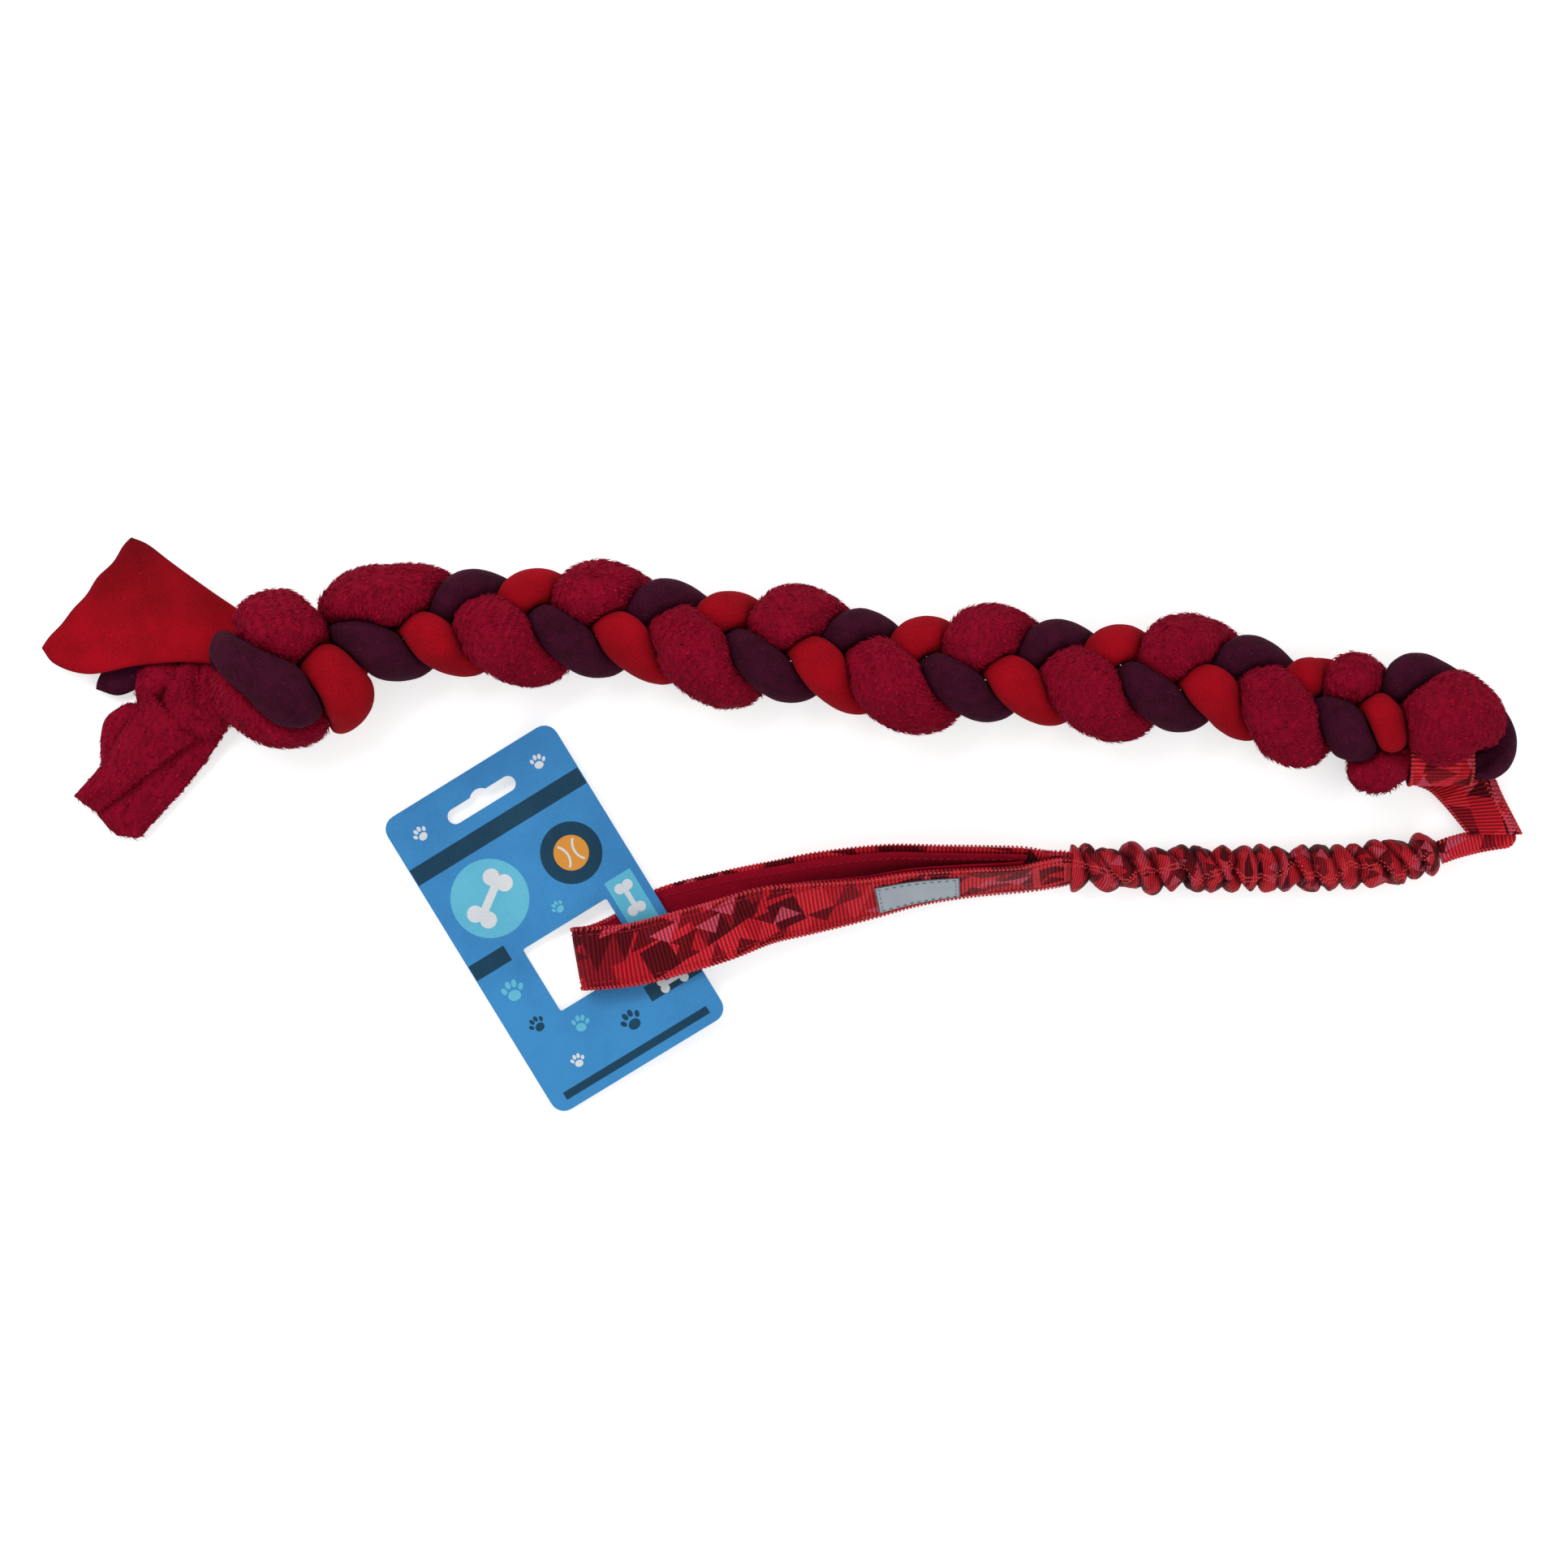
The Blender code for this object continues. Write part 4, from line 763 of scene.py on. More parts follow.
def make_facet_group():
    """Triangles of random tone on a crooked grid, from the webbing's own flat coordinates."""
    tree, given, made = new_group(
        "facets", (("Size", FLOAT, 0.012), ("Turn", FLOAT, 0.4), ("Seed", FLOAT, 0.0)),
        (("Tone", FLOAT),))
    given = given.outputs
    spun = add_node(tree, "VectorRotate", {"Vector": flat_place(tree), "Angle": given["Turn"]},
                    rotation_type="Z_AXIS")
    place = split(tree, spun.outputs["Vector"])
    y = add_math(tree, "DIVIDE", place["Y"], given["Size"])
    x = add_math(tree, "ADD", add_math(tree, "DIVIDE", place["X"], given["Size"]), given["Seed"])
    row = add_math(tree, "FLOOR", y)
    shift = add_node(tree, "TexWhiteNoise", {"W": row}, noise_dimensions="1D")
    x = add_math(tree, "ADD", x, shift.outputs["Value"])
    across, up = add_math(tree, "FRACT", x), add_math(tree, "FRACT", y)
    half = add_math(tree, "GREATER_THAN", add_math(tree, "ADD", across, up), 1.0)
    cell = add_node(tree, "CombineXYZ", {0: add_math(tree, "FLOOR", x), 1: row,
                                         2: add_math(tree, "ADD", half, 0.37)})
    tone = add_node(tree, "TexWhiteNoise", {"Vector": cell.outputs[0]}, noise_dimensions="3D")
    tree.links.new(tone.outputs["Value"], made.inputs["Tone"])
    return tree


def make_rib_group():
    """Weft ribs across the webbing, warp threads along it and frayed light fibres."""
    tree, _, made = new_group("ribs", (), (("Rib", FLOAT), ("Fibre", FLOAT)))
    flat = flat_place(tree)
    turn = add_math(tree, "MULTIPLY", split(tree, flat)["X"], 2 * math.pi / RIB_PITCH)
    rib = add_math(tree, "COSINE", turn)
    tree.links.new(add_range(tree, rib, -0.9, 0.6, 0.0, 1.0), made.inputs["Rib"])
    stretch = add_node(tree, "Mapping", {"Vector": flat, "Scale": (1, 6, 1)})
    fibre = add_noise(tree, stretch.outputs["Vector"], 900, 2.0, 0.6)
    tree.links.new(fibre, made.inputs["Fibre"])
    return tree


FACETS, RIBS = make_facet_group(), make_rib_group()
# How large a share of the print starts at each tone, and the tone itself
PRINT_TONES = ((0.0, (0.17, 0.003, 0.010)), (0.14, (0.40, 0.008, 0.020)),
               (0.30, (0.80, 0.016, 0.034)), (0.62, (1.00, 0.032, 0.054)),
               (0.93, (0.95, 0.060, 0.105)))
DARK_BELOW, PINK_ABOVE = 0.18, 0.945


def webbing_material(name, size, shade_scale=1.0, fold_shaded=False):
    """Printed webbing; painted shade darkens its rib grooves, and on request all of it, and its
    folds from a per-point value.
    """
    surface, tree, shader = new_shader(name, 0.55, 0.12)
    large = add_node(tree, "Group", node_tree=FACETS)
    small = add_node(tree, "Group", node_tree=FACETS)
    ribs = add_node(tree, "Group", node_tree=RIBS).outputs
    for group, wide, turn, seed in ((large, size, 0.30, 0.0), (small, size * 0.72, -0.55, 0.4)):
        for label, value in (("Size", wide), ("Turn", turn), ("Seed", seed)):
            group.inputs[label].default_value = value
    ramp = add_node(tree, "ValToRGB")
    ramp.color_ramp.interpolation = "CONSTANT"
    while len(ramp.color_ramp.elements) < len(PRINT_TONES):
        ramp.color_ramp.elements.new(0.5)
    for stop, (at, colour) in zip(ramp.color_ramp.elements, PRINT_TONES):
        stop.position = at
        stop.color = (*(shade_scale * value for value in colour), 1)
    tree.links.new(large.outputs["Tone"], ramp.inputs["Fac"])
    dark = add_math(tree, "LESS_THAN", small.outputs["Tone"], DARK_BELOW)
    pink = add_math(tree, "GREATER_THAN", small.outputs["Tone"], PINK_ABOVE)
    colour = add_mix(tree, add_math(tree, "MULTIPLY", dark, 0.85), ramp.outputs["Color"],
                     (0.15 * shade_scale, 0.001, 0.006, 1))
    colour = add_mix(tree, add_math(tree, "MULTIPLY", pink, 0.8), colour,
                     (1.0 * shade_scale, 0.12 * shade_scale, 0.20 * shade_scale, 1))
    # Painted shade: the grooves between the ribs are darkened. The fibre noise is the threads' own
    # tone.
    shade = add_math(tree, "MULTIPLY", add_range(tree, ribs["Rib"], 0.0, 1.0, 0.36, 1.0),
                     add_range(tree, ribs["Fibre"], 0.35, 0.65, 0.72, 1.15))
    # Painted shade: the folds' hollows are darkened from the fold height stored on each point.
    if fold_shaded:
        painted_fold_shade = add_node(tree, "Attribute", attribute_name="painted_fold_shade").outputs["Fac"]
        shade = add_math(tree, "MULTIPLY", shade, add_range(tree, painted_fold_shade, 0.15, 0.85, 0.10, 1.0))
    tree.links.new(add_scaled(tree, colour, shade), shader.inputs["Base Color"])
    height = add_math(tree, "ADD", ribs["Rib"], add_math(tree, "MULTIPLY", ribs["Fibre"], 0.5))
    add_relief(tree, shader, height, 0.7, 0.0004)
    return surface


WEBBING = webbing_material("printed webbing", 0.0125)


def thread_material(name, colour):
    surface, tree, shader = new_shader(name, 0.6, 0.12)
    ply = add_noise(tree, object_place(tree), 2600, 1.0, 0.5)
    shade = add_range(tree, ply, 0.35, 0.65, 0.0, 1.0)
    mixed = add_mix(tree, shade, tuple(0.55 * c for c in colour) + (1,), (*colour, 1))
    tree.links.new(mixed, shader.inputs["Base Color"])
    add_relief(tree, shader, ply, 0.5, 0.0002)
    return surface


THREAD = thread_material("red thread", (0.55, 0.020, 0.035))
CHAIN = thread_material("selvedge thread", (0.95, 0.085, 0.105))


def line_parts(line):
    """A line's centres, width directions, normals and fullness, each as one array."""
    return [np.array(part) for part in zip(*line)]


def make_strip(name, line, width, thickness, surface, body, lift=0.0, closed=False,
               ribbed=True, start=0.0):
    """A strip of webbing along fine rows of (centre, width direction, normal, fullness)."""
    centres, across, normal, full = line_parts(line)
    run = start + run_along(centres)
    wave = np.cos(2 * math.pi * run / RIB_PITCH) if ribbed else np.zeros(len(run))
    columns = np.array(STRIP_COLUMNS)
    profile = np.clip(1 - np.abs(columns) ** 14, 0.30, 1)
    rings, uvs = [], []
    for i in range(len(run)):
        half = thickness / 2 * profile + wave[i] * RIB_DEPTH * profile
        reach = columns * full[i] * width / 2
        reach = reach + np.sign(columns) * (np.abs(columns) == 1) * EDGE_LOOP * wave[i]
        top, low = (centres[i] + across[i] * reach[:, None] + normal[i] * side[:, None]
                    for side in (lift + half, lift - half))
        rings.append(np.vstack([top, low[::-1]]))
        lie = np.c_[np.full(len(columns), run[i]), columns * width / 2]
        uvs.append(np.vstack([lie, lie[::-1] + (0, 0.1)]))
    rings = above_floor(np.array(rings))
    count, sides = rings.shape[:2]
    piece = add_mesh(name, rings.reshape(-1, 3), tube_faces(count, sides, closed), surface,
                     np.array(uvs).reshape(-1, 2))
    turn_out(piece)
    if body:
        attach(piece, body)
    return piece


# Place along the stitch, fullness and rise of each ring of a stitch
STITCH_RINGS = ((-1.0, 0.25, -0.5), (-0.8, 0.75, -0.1), (-0.4, 1.0, 0.35), (0.0, 1.05, 0.5),
                (0.4, 1.0, 0.35), (0.8, 0.75, -0.1), (1.0, 0.25, -0.5))


def sew(name, stitches, size, surface, body, sides=5):
    """Many stitches as one piece. Each is a (middle, heading, normal), size length and radius."""
    length, radius = size
    verts, faces = [], []
    for middle, heading, normal in stitches:
        heading = unit(heading)
        normal = unit(normal - heading * (normal @ heading))
        beside = np.cross(heading, normal)
        base = len(verts)
        for along, full, rise in STITCH_RINGS:
            centre = middle + heading * along * length / 2 + normal * rise * radius
            for j in range(sides):
                turn = 2 * math.pi * j / sides
                verts.append(centre + radius * full * (math.cos(turn) * beside
                                                       + math.sin(turn) * normal))
        faces += [tuple(base + k for k in face) for face in tube_faces(len(STITCH_RINGS), sides)]
    piece = turn_out(add_mesh(name, above_floor(np.array(verts)), faces, surface))
    if body:
        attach(piece, body)
    return piece


def on_strip(line, along, side, lift):
    """Place, heading, width direction and normal on a strip."""
    centres, widths, normals, fulls = line_parts(line)
    run = run_along(centres)
    centre, across, normal = (between(along, run, part) for part in (centres, widths, normals))
    across, normal = unit(across), unit(normal)
    ahead = unit(between(along + HEADING_STEP, run, centres)
                 - between(along - HEADING_STEP, run, centres))
    full = np.interp(along, run, fulls)
    return centre + across * side * full + normal * lift, ahead, across, normal


def chain_edge(name, line, width, lift, body, low=0.0, edges=(-1, 1)):
    """The looped selvedge: a slanting loop of thread at every rib."""
    high = run_along(line_parts(line)[0])[-1]
    stitches = []
    for edge in edges:
        for along in np.arange(low + RIB_PITCH, high - RIB_PITCH, RIB_PITCH):
            for slant, inset in CHAIN_LOOPS:
                place, ahead, across, normal = on_strip(line, along, edge * (width / 2 - inset),
                                                        lift)
                stitches.append((place, ahead + across * slant * edge, normal))
    return sew(name, stitches, CHAIN_SIZE, CHAIN, body)


def ring_line(middle, reach, count):
    """Rows round the band: the width lies along X."""
    line = []
    for angle in np.linspace(0, 2 * math.pi, count, endpoint=False):
        place = middle + np.array((0, reach[1] * math.cos(angle), reach[2] * math.sin(angle)))
        normal = np.array((0, math.cos(angle) / reach[1], math.sin(angle) / reach[2]))
        line.append((place, np.array((1.0, 0, 0)), unit(normal), 1.0))
    return line


band_reach = loop_reach - (0, WEBBING_THICKNESS / 2, WEBBING_THICKNESS / 2)
BAND_LENGTH = math.pi * (3 * (band_reach[1] + band_reach[2]) - math.sqrt(
    (3 * band_reach[1] + band_reach[2]) * (band_reach[1] + 3 * band_reach[2])))
BAND_RIBS = round(BAND_LENGTH / RIB_PITCH)
band_line = ring_line(loop_middle, band_reach, BAND_RIBS * 5)
band = make_strip("band", band_line, WEBBING_WIDTH, WEBBING_THICKNESS, WEBBING, "plait",
                  closed=True)
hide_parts("loop_webbing")
chain_edge("band_chain", band_line, WEBBING_WIDTH, WEBBING_THICKNESS / 2, "plait")

# Connector
# Two layers of the same webbing sewn face to face, from under the band to the folded
# point, with two chained rows of stitches up the right side.
CONNECTOR_ROUTE = ((2.745, 0.235, 0.90, 0.43, 1.0), (2.81, 0.20, 0.92, 0.39, 0.98),
                   (2.87, 0.105, 0.99, 0.12, 0.93), (2.955, -0.032, 1.0, 0.0, 0.84))
CONNECTOR_RISE = 0.0042
LAYER_GAP = 0.0003
LAYER_SHIFT = 0.0011  # how far the upper layer lies off the lower one
SEAM_INSET = 0.0031


def connector_line(step):
    route = smooth_curve(np.array(CONNECTOR_ROUTE), step / GRID)
    line = []
    for x, y, wx, wy, full in route:
        across = np.array((wx, wy, 0.0)) / math.hypot(wx, wy)
        share = (route[0][1] - y) / (route[0][1] - route[-1][1])
        height = LAYER_GAP + CONNECTOR_RISE * max(share, 0) ** 2
        line.append((np.array((x * GRID, y * GRID, height)), across, UP, full))
    return line


connector = connector_line(ROW_STEP)
shifted = [(centre - across * LAYER_SHIFT, across, UP, full)
           for centre, across, _, full in connector]
lower = make_strip("connector_under", connector, WEBBING_WIDTH, WEBBING_THICKNESS, WEBBING,
                   "plait", lift=WEBBING_THICKNESS / 2, start=0.05)
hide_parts("connector_lower")
upper = make_strip("connector_over", shifted, WEBBING_WIDTH, WEBBING_THICKNESS, WEBBING, "plait",
                   lift=1.5 * WEBBING_THICKNESS + 2 * LAYER_GAP, start=0.2)
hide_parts("connector_upper")
over = 2 * WEBBING_THICKNESS + 2 * LAYER_GAP
chain = chain_edge("connector_chain", shifted, WEBBING_WIDTH, over, "plait")
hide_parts("connector_stitching_left")
inner = chain_edge("connector_seam", shifted, WEBBING_WIDTH - 2 * SEAM_INSET, over, "plait",
                   low=0.004, edges=(1,))
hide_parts("connector_stitching")
chain_edge("connector_chain_under", connector, WEBBING_WIDTH, WEBBING_THICKNESS, "plait",
           edges=(1,))

# Lead strip
# The webbing folded narrow on itself and stitched shut, from the folded point into
# the far end of the bungee.
LEAD_ROUTE = ((2.992, -0.042), (2.935, -0.050), (2.865, -0.063), (2.77, -0.086))
LEAD_WIDTH = 0.0095
LEAD_THICKNESS = 0.0034
LEAD_REST = 0.0005
BUNGEE_AXIS = ((1.24, -0.17), (1.80, -0.172), (2.30, -0.166), (2.54, -0.138), (2.67, -0.115))
BUNGEE_RADIUS = 0.0098
BUNGEE_HEIGHT = BUNGEE_RADIUS - 0.0005
LEAD_END = 0.0040  # how far past the bungee's end the strip stops


def lead_line(step):
    far, before = np.array(BUNGEE_AXIS[-1]) * GRID, np.array(BUNGEE_AXIS[-2]) * GRID
    points = np.vstack([np.array(LEAD_ROUTE) * GRID, far + unit(far - before) * LEAD_END])
    first = points[0] + unit(points[0] - points[1]) * LEAD_WIDTH * 0.48
    run = smooth_curve(np.vstack([first, points]), step)
    line, last = [], len(run) - 1
    low = LEAD_REST + LEAD_THICKNESS / 2
    for i, place in enumerate(run):
        heading = unit(run[max(i - 1, 0)] - run[min(i + 1, last)])
        across = np.array((-heading[1], heading[0], 0.0))
        rise = max(0.0, i / last - 0.3) / 0.7
        height = low + (BUNGEE_HEIGHT - low) * rise * rise * (3 - 2 * rise)
        beyond = np.linalg.norm(place - points[0]) if place[0] > points[0][0] else 0.0
        full = math.sqrt(max(0.06, 1 - (2 * beyond / LEAD_WIDTH) ** 2))
        line.append((np.array((*place, height)), across, UP, full))
    return line


lead = lead_line(ROW_STEP)
strip = make_strip("lead_strip", lead, LEAD_WIDTH, LEAD_THICKNESS, WEBBING, "lead", start=0.31)
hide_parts("lead_webbing")
rows = chain_edge("lead_chain", lead, LEAD_WIDTH, LEAD_THICKNESS / 2, "lead", low=0.003)
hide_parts("lead_stitching")

# Bungee sleeve and elastic
# A tube of the same webbing gathered on flat elastic: eighteen uneven folds that
# lean, with the tube's own seam showing as a chain along the top.
SLEEVE_STEP = 0.00055
SLEEVE_SIDES = 64
SLEEVE_DEPTH = 0.0044  # from the top of a fold to its valley
SLEEVE_SWAY = 0.0010
SLEEVE_OVER = 0.0036  # how far the sleeve goes over the tack at the handle's end
SLEEVE_PAST = 0.0034  # and over the tack at the other end
SLEEVE_WALL = 0.0012
SLEEVE_BORE = 0.0056
SEAM_SIZE = (0.0014, 0.00028)
ELASTIC_WIDTH = 0.0090
ELASTIC_THICKNESS = 0.0036
# Where each fold starts, as a share of the sleeve's length
FOLD_EDGES = (-0.015, 0.046, 0.108, 0.172, 0.236, 0.300, 0.355, 0.405, 0.455, 0.510, 0.560, 0.612,
              0.664, 0.718, 0.772, 0.828, 0.884, 0.944, 1.0)


def sleeve_axis(step):
    axis = np.array(BUNGEE_AXIS) * GRID
    start = axis[0] - unit(axis[1] - axis[0]) * SLEEVE_OVER
    stop = axis[-1] + unit(axis[-1] - axis[-2]) * SLEEVE_PAST
    run = smooth_curve(np.vstack([start, axis, stop]), step)
    centres = np.c_[run, np.full(len(run), BUNGEE_HEIGHT)]
    return centres, unit_rows(np.gradient(centres, axis=0))


def fold_height(share, turn):
    """How full the gathers are at a place along (0 to 1) and round the sleeve, 0 to 1."""
    steep = 0.022 + 0.012 * np.sin(7.0 * share + 0.8)
    lean = -steep * np.cos(turn - 0.35) + 0.006 * np.sin(2 * turn + 25 * share)
    lean = lean + 0.005 * np.sin(3 * turn + 61 * share + 1.3)
    at = np.clip(share + lean * np.clip(10 * np.minimum(share, 1 - share), 0, 1), 0, 1)
    fold = np.interp(at, FOLD_EDGES, np.arange(len(FOLD_EDGES)))
    ridge = np.abs(np.sin(math.pi * fold)) ** 0.50
    crease = np.abs(np.sin(math.pi * fold * 2 + 1.1 * np.sin(2.0 * turn + fold * 2.4))) ** 0.5
    return ridge * (0.88 + 0.12 * crease), fold


def make_sleeve():
    centres, tangents = sleeve_axis(SLEEVE_STEP)
    count = len(centres)
    share = np.linspace(0, 1, count)
    turn = np.linspace(0, 2 * math.pi, SLEEVE_SIDES, endpoint=False)
    height, fold = fold_height(share[:, None], turn[None, :])
    size = 1 + 0.06 * np.sin(fold * 2.1 + 0.7) + 0.035 * np.sin(fold * 4.4)
    bulge = 0.25 * np.sin(turn - 0.4 + fold * 1.7)
    radius = BUNGEE_RADIUS * size - SLEEVE_DEPTH * (1 + bulge) * (1 - height)
    ends = np.minimum(np.clip((share + 0.0004) / 0.034, 0, 1), np.clip((1 - share) / 0.055, 0, 1))
    ends = np.sqrt(1 - (1 - ends) ** 2)[:, None]
    radius = radius * ends + SLEEVE_BORE * (1 - ends)
    sway = SLEEVE_SWAY * np.clip(1.3 - share * 2.2, 0.25, 1) * np.sin(
        math.pi * np.clip(share * 12, 0, 0.5)) * np.cos(math.pi * fold[:, SLEEVE_SIDES // 4])
    length = np.r_[0, np.cumsum(np.hypot(np.diff(radius.mean(axis=1)), SLEEVE_STEP))]
    around = np.abs((turn + math.pi * 0.55) % (2 * math.pi) - math.pi) * 0.0083
    outer, uvs, ways = [], [], []
    for i in range(count):
        side = unit(np.cross(tangents[i], UP))
        way = np.cos(turn)[:, None] * side + np.sin(turn)[:, None] * UP
        ways.append(way)
        outer.append(centres[i] + side * sway[i] + way * radius[i][:, None])
        lie = length[i] * 1.5 + 0.0020 * np.cos(turn + 0.55) + 0.0009 * np.sin(3 * turn + fold[i])
        uvs.append(np.c_[lie, around])
    inner = []
    for i in list(range(0, count, 12)) + [count - 1]:
        bore = min(radius[max(i - 6, 0):i + 7].min() - SLEEVE_WALL, SLEEVE_BORE)
        inner.append(centres[i] + ways[i] * bore)
    outer = above_floor(np.array(outer))
    rings = np.concatenate([outer, np.array(inner)[::-1]])
    uvs = np.concatenate([np.array(uvs), np.zeros((len(inner), SLEEVE_SIDES, 2))])
    piece = turn_out(add_mesh("gathered_sleeve", rings.reshape(-1, 3),
                              tube_faces(len(rings), SLEEVE_SIDES, closed=True), SHADED_SLEEVE_WEBBING,
                              uvs.reshape(-1, 2)))
    # The fold height stored on the mesh, from which the material paints shade into the hollows.
    painted_fold_shade = np.concatenate([height, np.ones((len(inner), SLEEVE_SIDES))])
    shade = piece.data.attributes.new("painted_fold_shade", "FLOAT", "POINT")
    shade.data.foreach_set("value", painted_fold_shade.astype(np.float32).ravel())
    return piece, outer, fold, centres, tangents


# A copy of the same webbing painted darker all over, as shade in the deep gathers, with painted
# shade in the folds' hollows.
SHADED_SLEEVE_WEBBING = webbing_material("gathered webbing", 0.0085, shade_scale=0.85, fold_shaded=True)
sleeve, sleeve_rings, sleeve_fold, sleeve_centres, sleeve_tangents = make_sleeve()
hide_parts("bungee_sleeve")
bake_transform(sleeve)


def seam_row(name, where):
    """The sleeve's seam: slanting loops of thread that ride the tops of the gathers."""
    column = int(where / (2 * math.pi) * SLEEVE_SIDES)
    stitches = []
    for i in range(6, len(sleeve_rings) - 6, 2):
        at = sleeve_fold[i, column]
        shift = int(round(3.2 * math.sin(at * 1.9) + 1.6 * math.sin(at * 4.3)))
        for off, slant in ((0, 0.7), (2, -0.7)):
            j = (column + off + shift) % SLEEVE_SIDES
            place = sleeve_rings[i, j]
            out = unit(place - sleeve_centres[i])
            heading = unit(sleeve_rings[i + 2, j] - sleeve_rings[i - 2, j])
            stitches.append((place, heading + np.cross(out, heading) * slant, out))
    return sew(name, stitches, SEAM_SIZE, CHAIN, None)


seam = seam_row("sleeve_seam", math.pi * 0.42)
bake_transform(seam)

core_line = [(centre, unit(np.cross(tangent, UP)), UP, 1.0)
             for centre, tangent in list(zip(sleeve_centres, sleeve_tangents))[12:-8:3]]
RUBBER, tree, shader = new_shader("elastic", 0.6)
braided = add_noise(tree, object_place(tree), 1600, 1.0, 0.5)
tree.links.new(add_mix(tree, braided, (0.05, 0.004, 0.007, 1), (0.16, 0.014, 0.022, 1)),
               shader.inputs["Base Color"])
elastic = make_strip("flat_elastic", core_line, ELASTIC_WIDTH, ELASTIC_THICKNESS, RUBBER, None,
                     ribbed=False)
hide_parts("elastic_core")
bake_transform(elastic)
for node in ("tack_near", "tack_far"):
    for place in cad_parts[node].material_slots:
        place.material = THREAD

# Handle loop and neck
# One long strip of the webbing, bent back on itself at -X and narrowed at +X into the
# neck, and lined with thin dark red fleece sewn inside it along both selvedges.
LINING_THICKNESS = 0.0020
LINING_WIDTH = 0.0232
LINING_TO_X = 0.100
LINING_SHIFT = 0.0012  # between the rows on the webbing and those on the lining
LINING_SHORT = 0.004
HANDLE_LAYER = 0.0003
# X, Y, height and lean in quarter turns, in squares of 100 mm, then fullness
NECK_FRONT = ((1.215, -0.172, 0.088, 0.44, 0.46), (1.15, -0.176, 0.104, 0.52, 0.64),
              (1.08, -0.186, 0.122, 0.62, 0.80))
FRONT = ((0.975, -0.203, 0.134, 0.73, 1), (0.75, -0.220, 0.140, 0.70, 1),
         (0.54, -0.245, 0.146, 0.63, 1), (0.33, -0.290, 0.148, 0.54, 1),
         (0.09, -0.330, 0.145, 0.37, 1), (-0.08, -0.362, 0.140, 0.26, 1),
         (-0.255, -0.425, 0.138, 0.11, 1), (-0.42, -0.475, 0.138, 0.04, 1),
         (-0.60, -0.522, 0.138, 0.0, 1), (-0.73, -0.538, 0.138, 0.0, 1))
BEND = ((-0.5425, 0.1), (-0.5435, 0.3), (-0.5435, 0.5), (-0.5425, 0.7), (-0.540, 0.9))
BEND_MIDDLE = (-0.775, 0.0795)
BEND_RADIUS = 0.058
BACK = ((-0.73, -0.522, 0.0215, 0.0, 1), (-0.62, -0.468, 0.0215, 0.0, 1),
        (-0.47, -0.377, 0.0215, 0.0, 1), (-0.247, -0.318, 0.034, 0.07, 1),
        (-0.013, -0.262, 0.072, 0.27, 1), (0.17, -0.212, 0.098, 0.43, 1),
        (0.43, -0.165, 0.120, 0.58, 1), (0.64, -0.152, 0.127, 0.68, 1),
        (0.82, -0.148, 0.128, 0.72, 1), (0.975, -0.150, 0.128, 0.73, 1))
NECK_BACK = ((1.08, -0.171, 0.115, 0.62, 0.80), (1.15, -0.168, 0.096, 0.52, 0.64),
             (1.215, -0.168, 0.080, 0.44, 0.46))
BEND_SKEW = math.radians(-10)


def handle_line(step):
    rows = [(x, y, z, lean / 2, 0.0, full) for x, y, z, lean, full in NECK_FRONT + FRONT]
    x, z = BEND_MIDDLE
    rows += [(x - BEND_RADIUS * math.sin(math.pi * turned), y,
              z + BEND_RADIUS * math.cos(math.pi * turned), 0.0, turned, 1) for y, turned in BEND]
    rows += [(x, y, z, lean / 2, 1.0, full) for x, y, z, lean, full in BACK + NECK_BACK]
    rows = np.array(rows)
    rows[:, :3] *= GRID
    run = smooth_curve(rows, step)
    bent = np.array((math.sin(BEND_SKEW), math.cos(BEND_SKEW), 0.0))
    line = []
    for row, ahead in zip(run, np.gradient(run[:, :3], axis=0)):
        lean, turned = row[3] * math.pi, np.clip(row[4], 0, 1)
        level = np.array((-ahead[1], ahead[0], 0.0))
        level *= np.sign(level[1]) / np.linalg.norm(level)
        level = level * math.cos(lean) + UP * math.sin(lean)
        share = np.clip(min(turned, 1 - turned) / 0.12, 0, 1)
        across = unit(level * (1 - share) + bent * share)
        line.append((row[:3], across, unit(np.cross(across, ahead)), row[5]))
    return line


handle = handle_line(ROW_STEP)
webbing = make_strip("handle_loop", handle, WEBBING_WIDTH, WEBBING_THICKNESS, WEBBING, None,
                     lift=HANDLE_LAYER + WEBBING_THICKNESS / 2, start=0.45)
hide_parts("handle_webbing", "neck_webbing")
handle_top = HANDLE_LAYER + WEBBING_THICKNESS
handle_edges = chain_edge("handle_chain", handle, WEBBING_WIDTH, handle_top, None)
for piece in (webbing, handle_edges):
    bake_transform(piece)

LINING = nap_material("lining fleece", (0.34, 0.001, 0.018), (0.24, 0.0008, 0.012),
                      (0.5, 0.04, 0.08), 120, 1900, 0.9, 0.4, 0.73, 0.06, 0.25)
lined = [i for i, row in enumerate(handle) if row[0][0] < LINING_TO_X]
inside = handle[lined[0]:lined[-1] + 1][::3]
lining = make_strip("handle_lining_fleece", inside, LINING_WIDTH, LINING_THICKNESS, LINING,
                    "handle", lift=-HANDLE_LAYER - LINING_THICKNESS / 2, ribbed=False)
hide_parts("handle_lining")
ROW_PITCH = 0.0031
ROW_SIDE = WEBBING_WIDTH / 2 - 0.0031
NECK_RUN = 0.024  # how far the rows stop short of the strip's two ends


def stitch_row(name, low, high, side, lift, size, surface):
    """Straight stitches along the handle, at ROW_PITCH."""
    stitches = []
    for along in np.arange(low, high, ROW_PITCH):
        place, ahead, _, normal = on_strip(handle, along, side, lift)
        stitches.append((place, ahead, normal * (1 if lift > 0 else -1)))
    return sew(name, stitches, size, surface, "handle", sides=6)


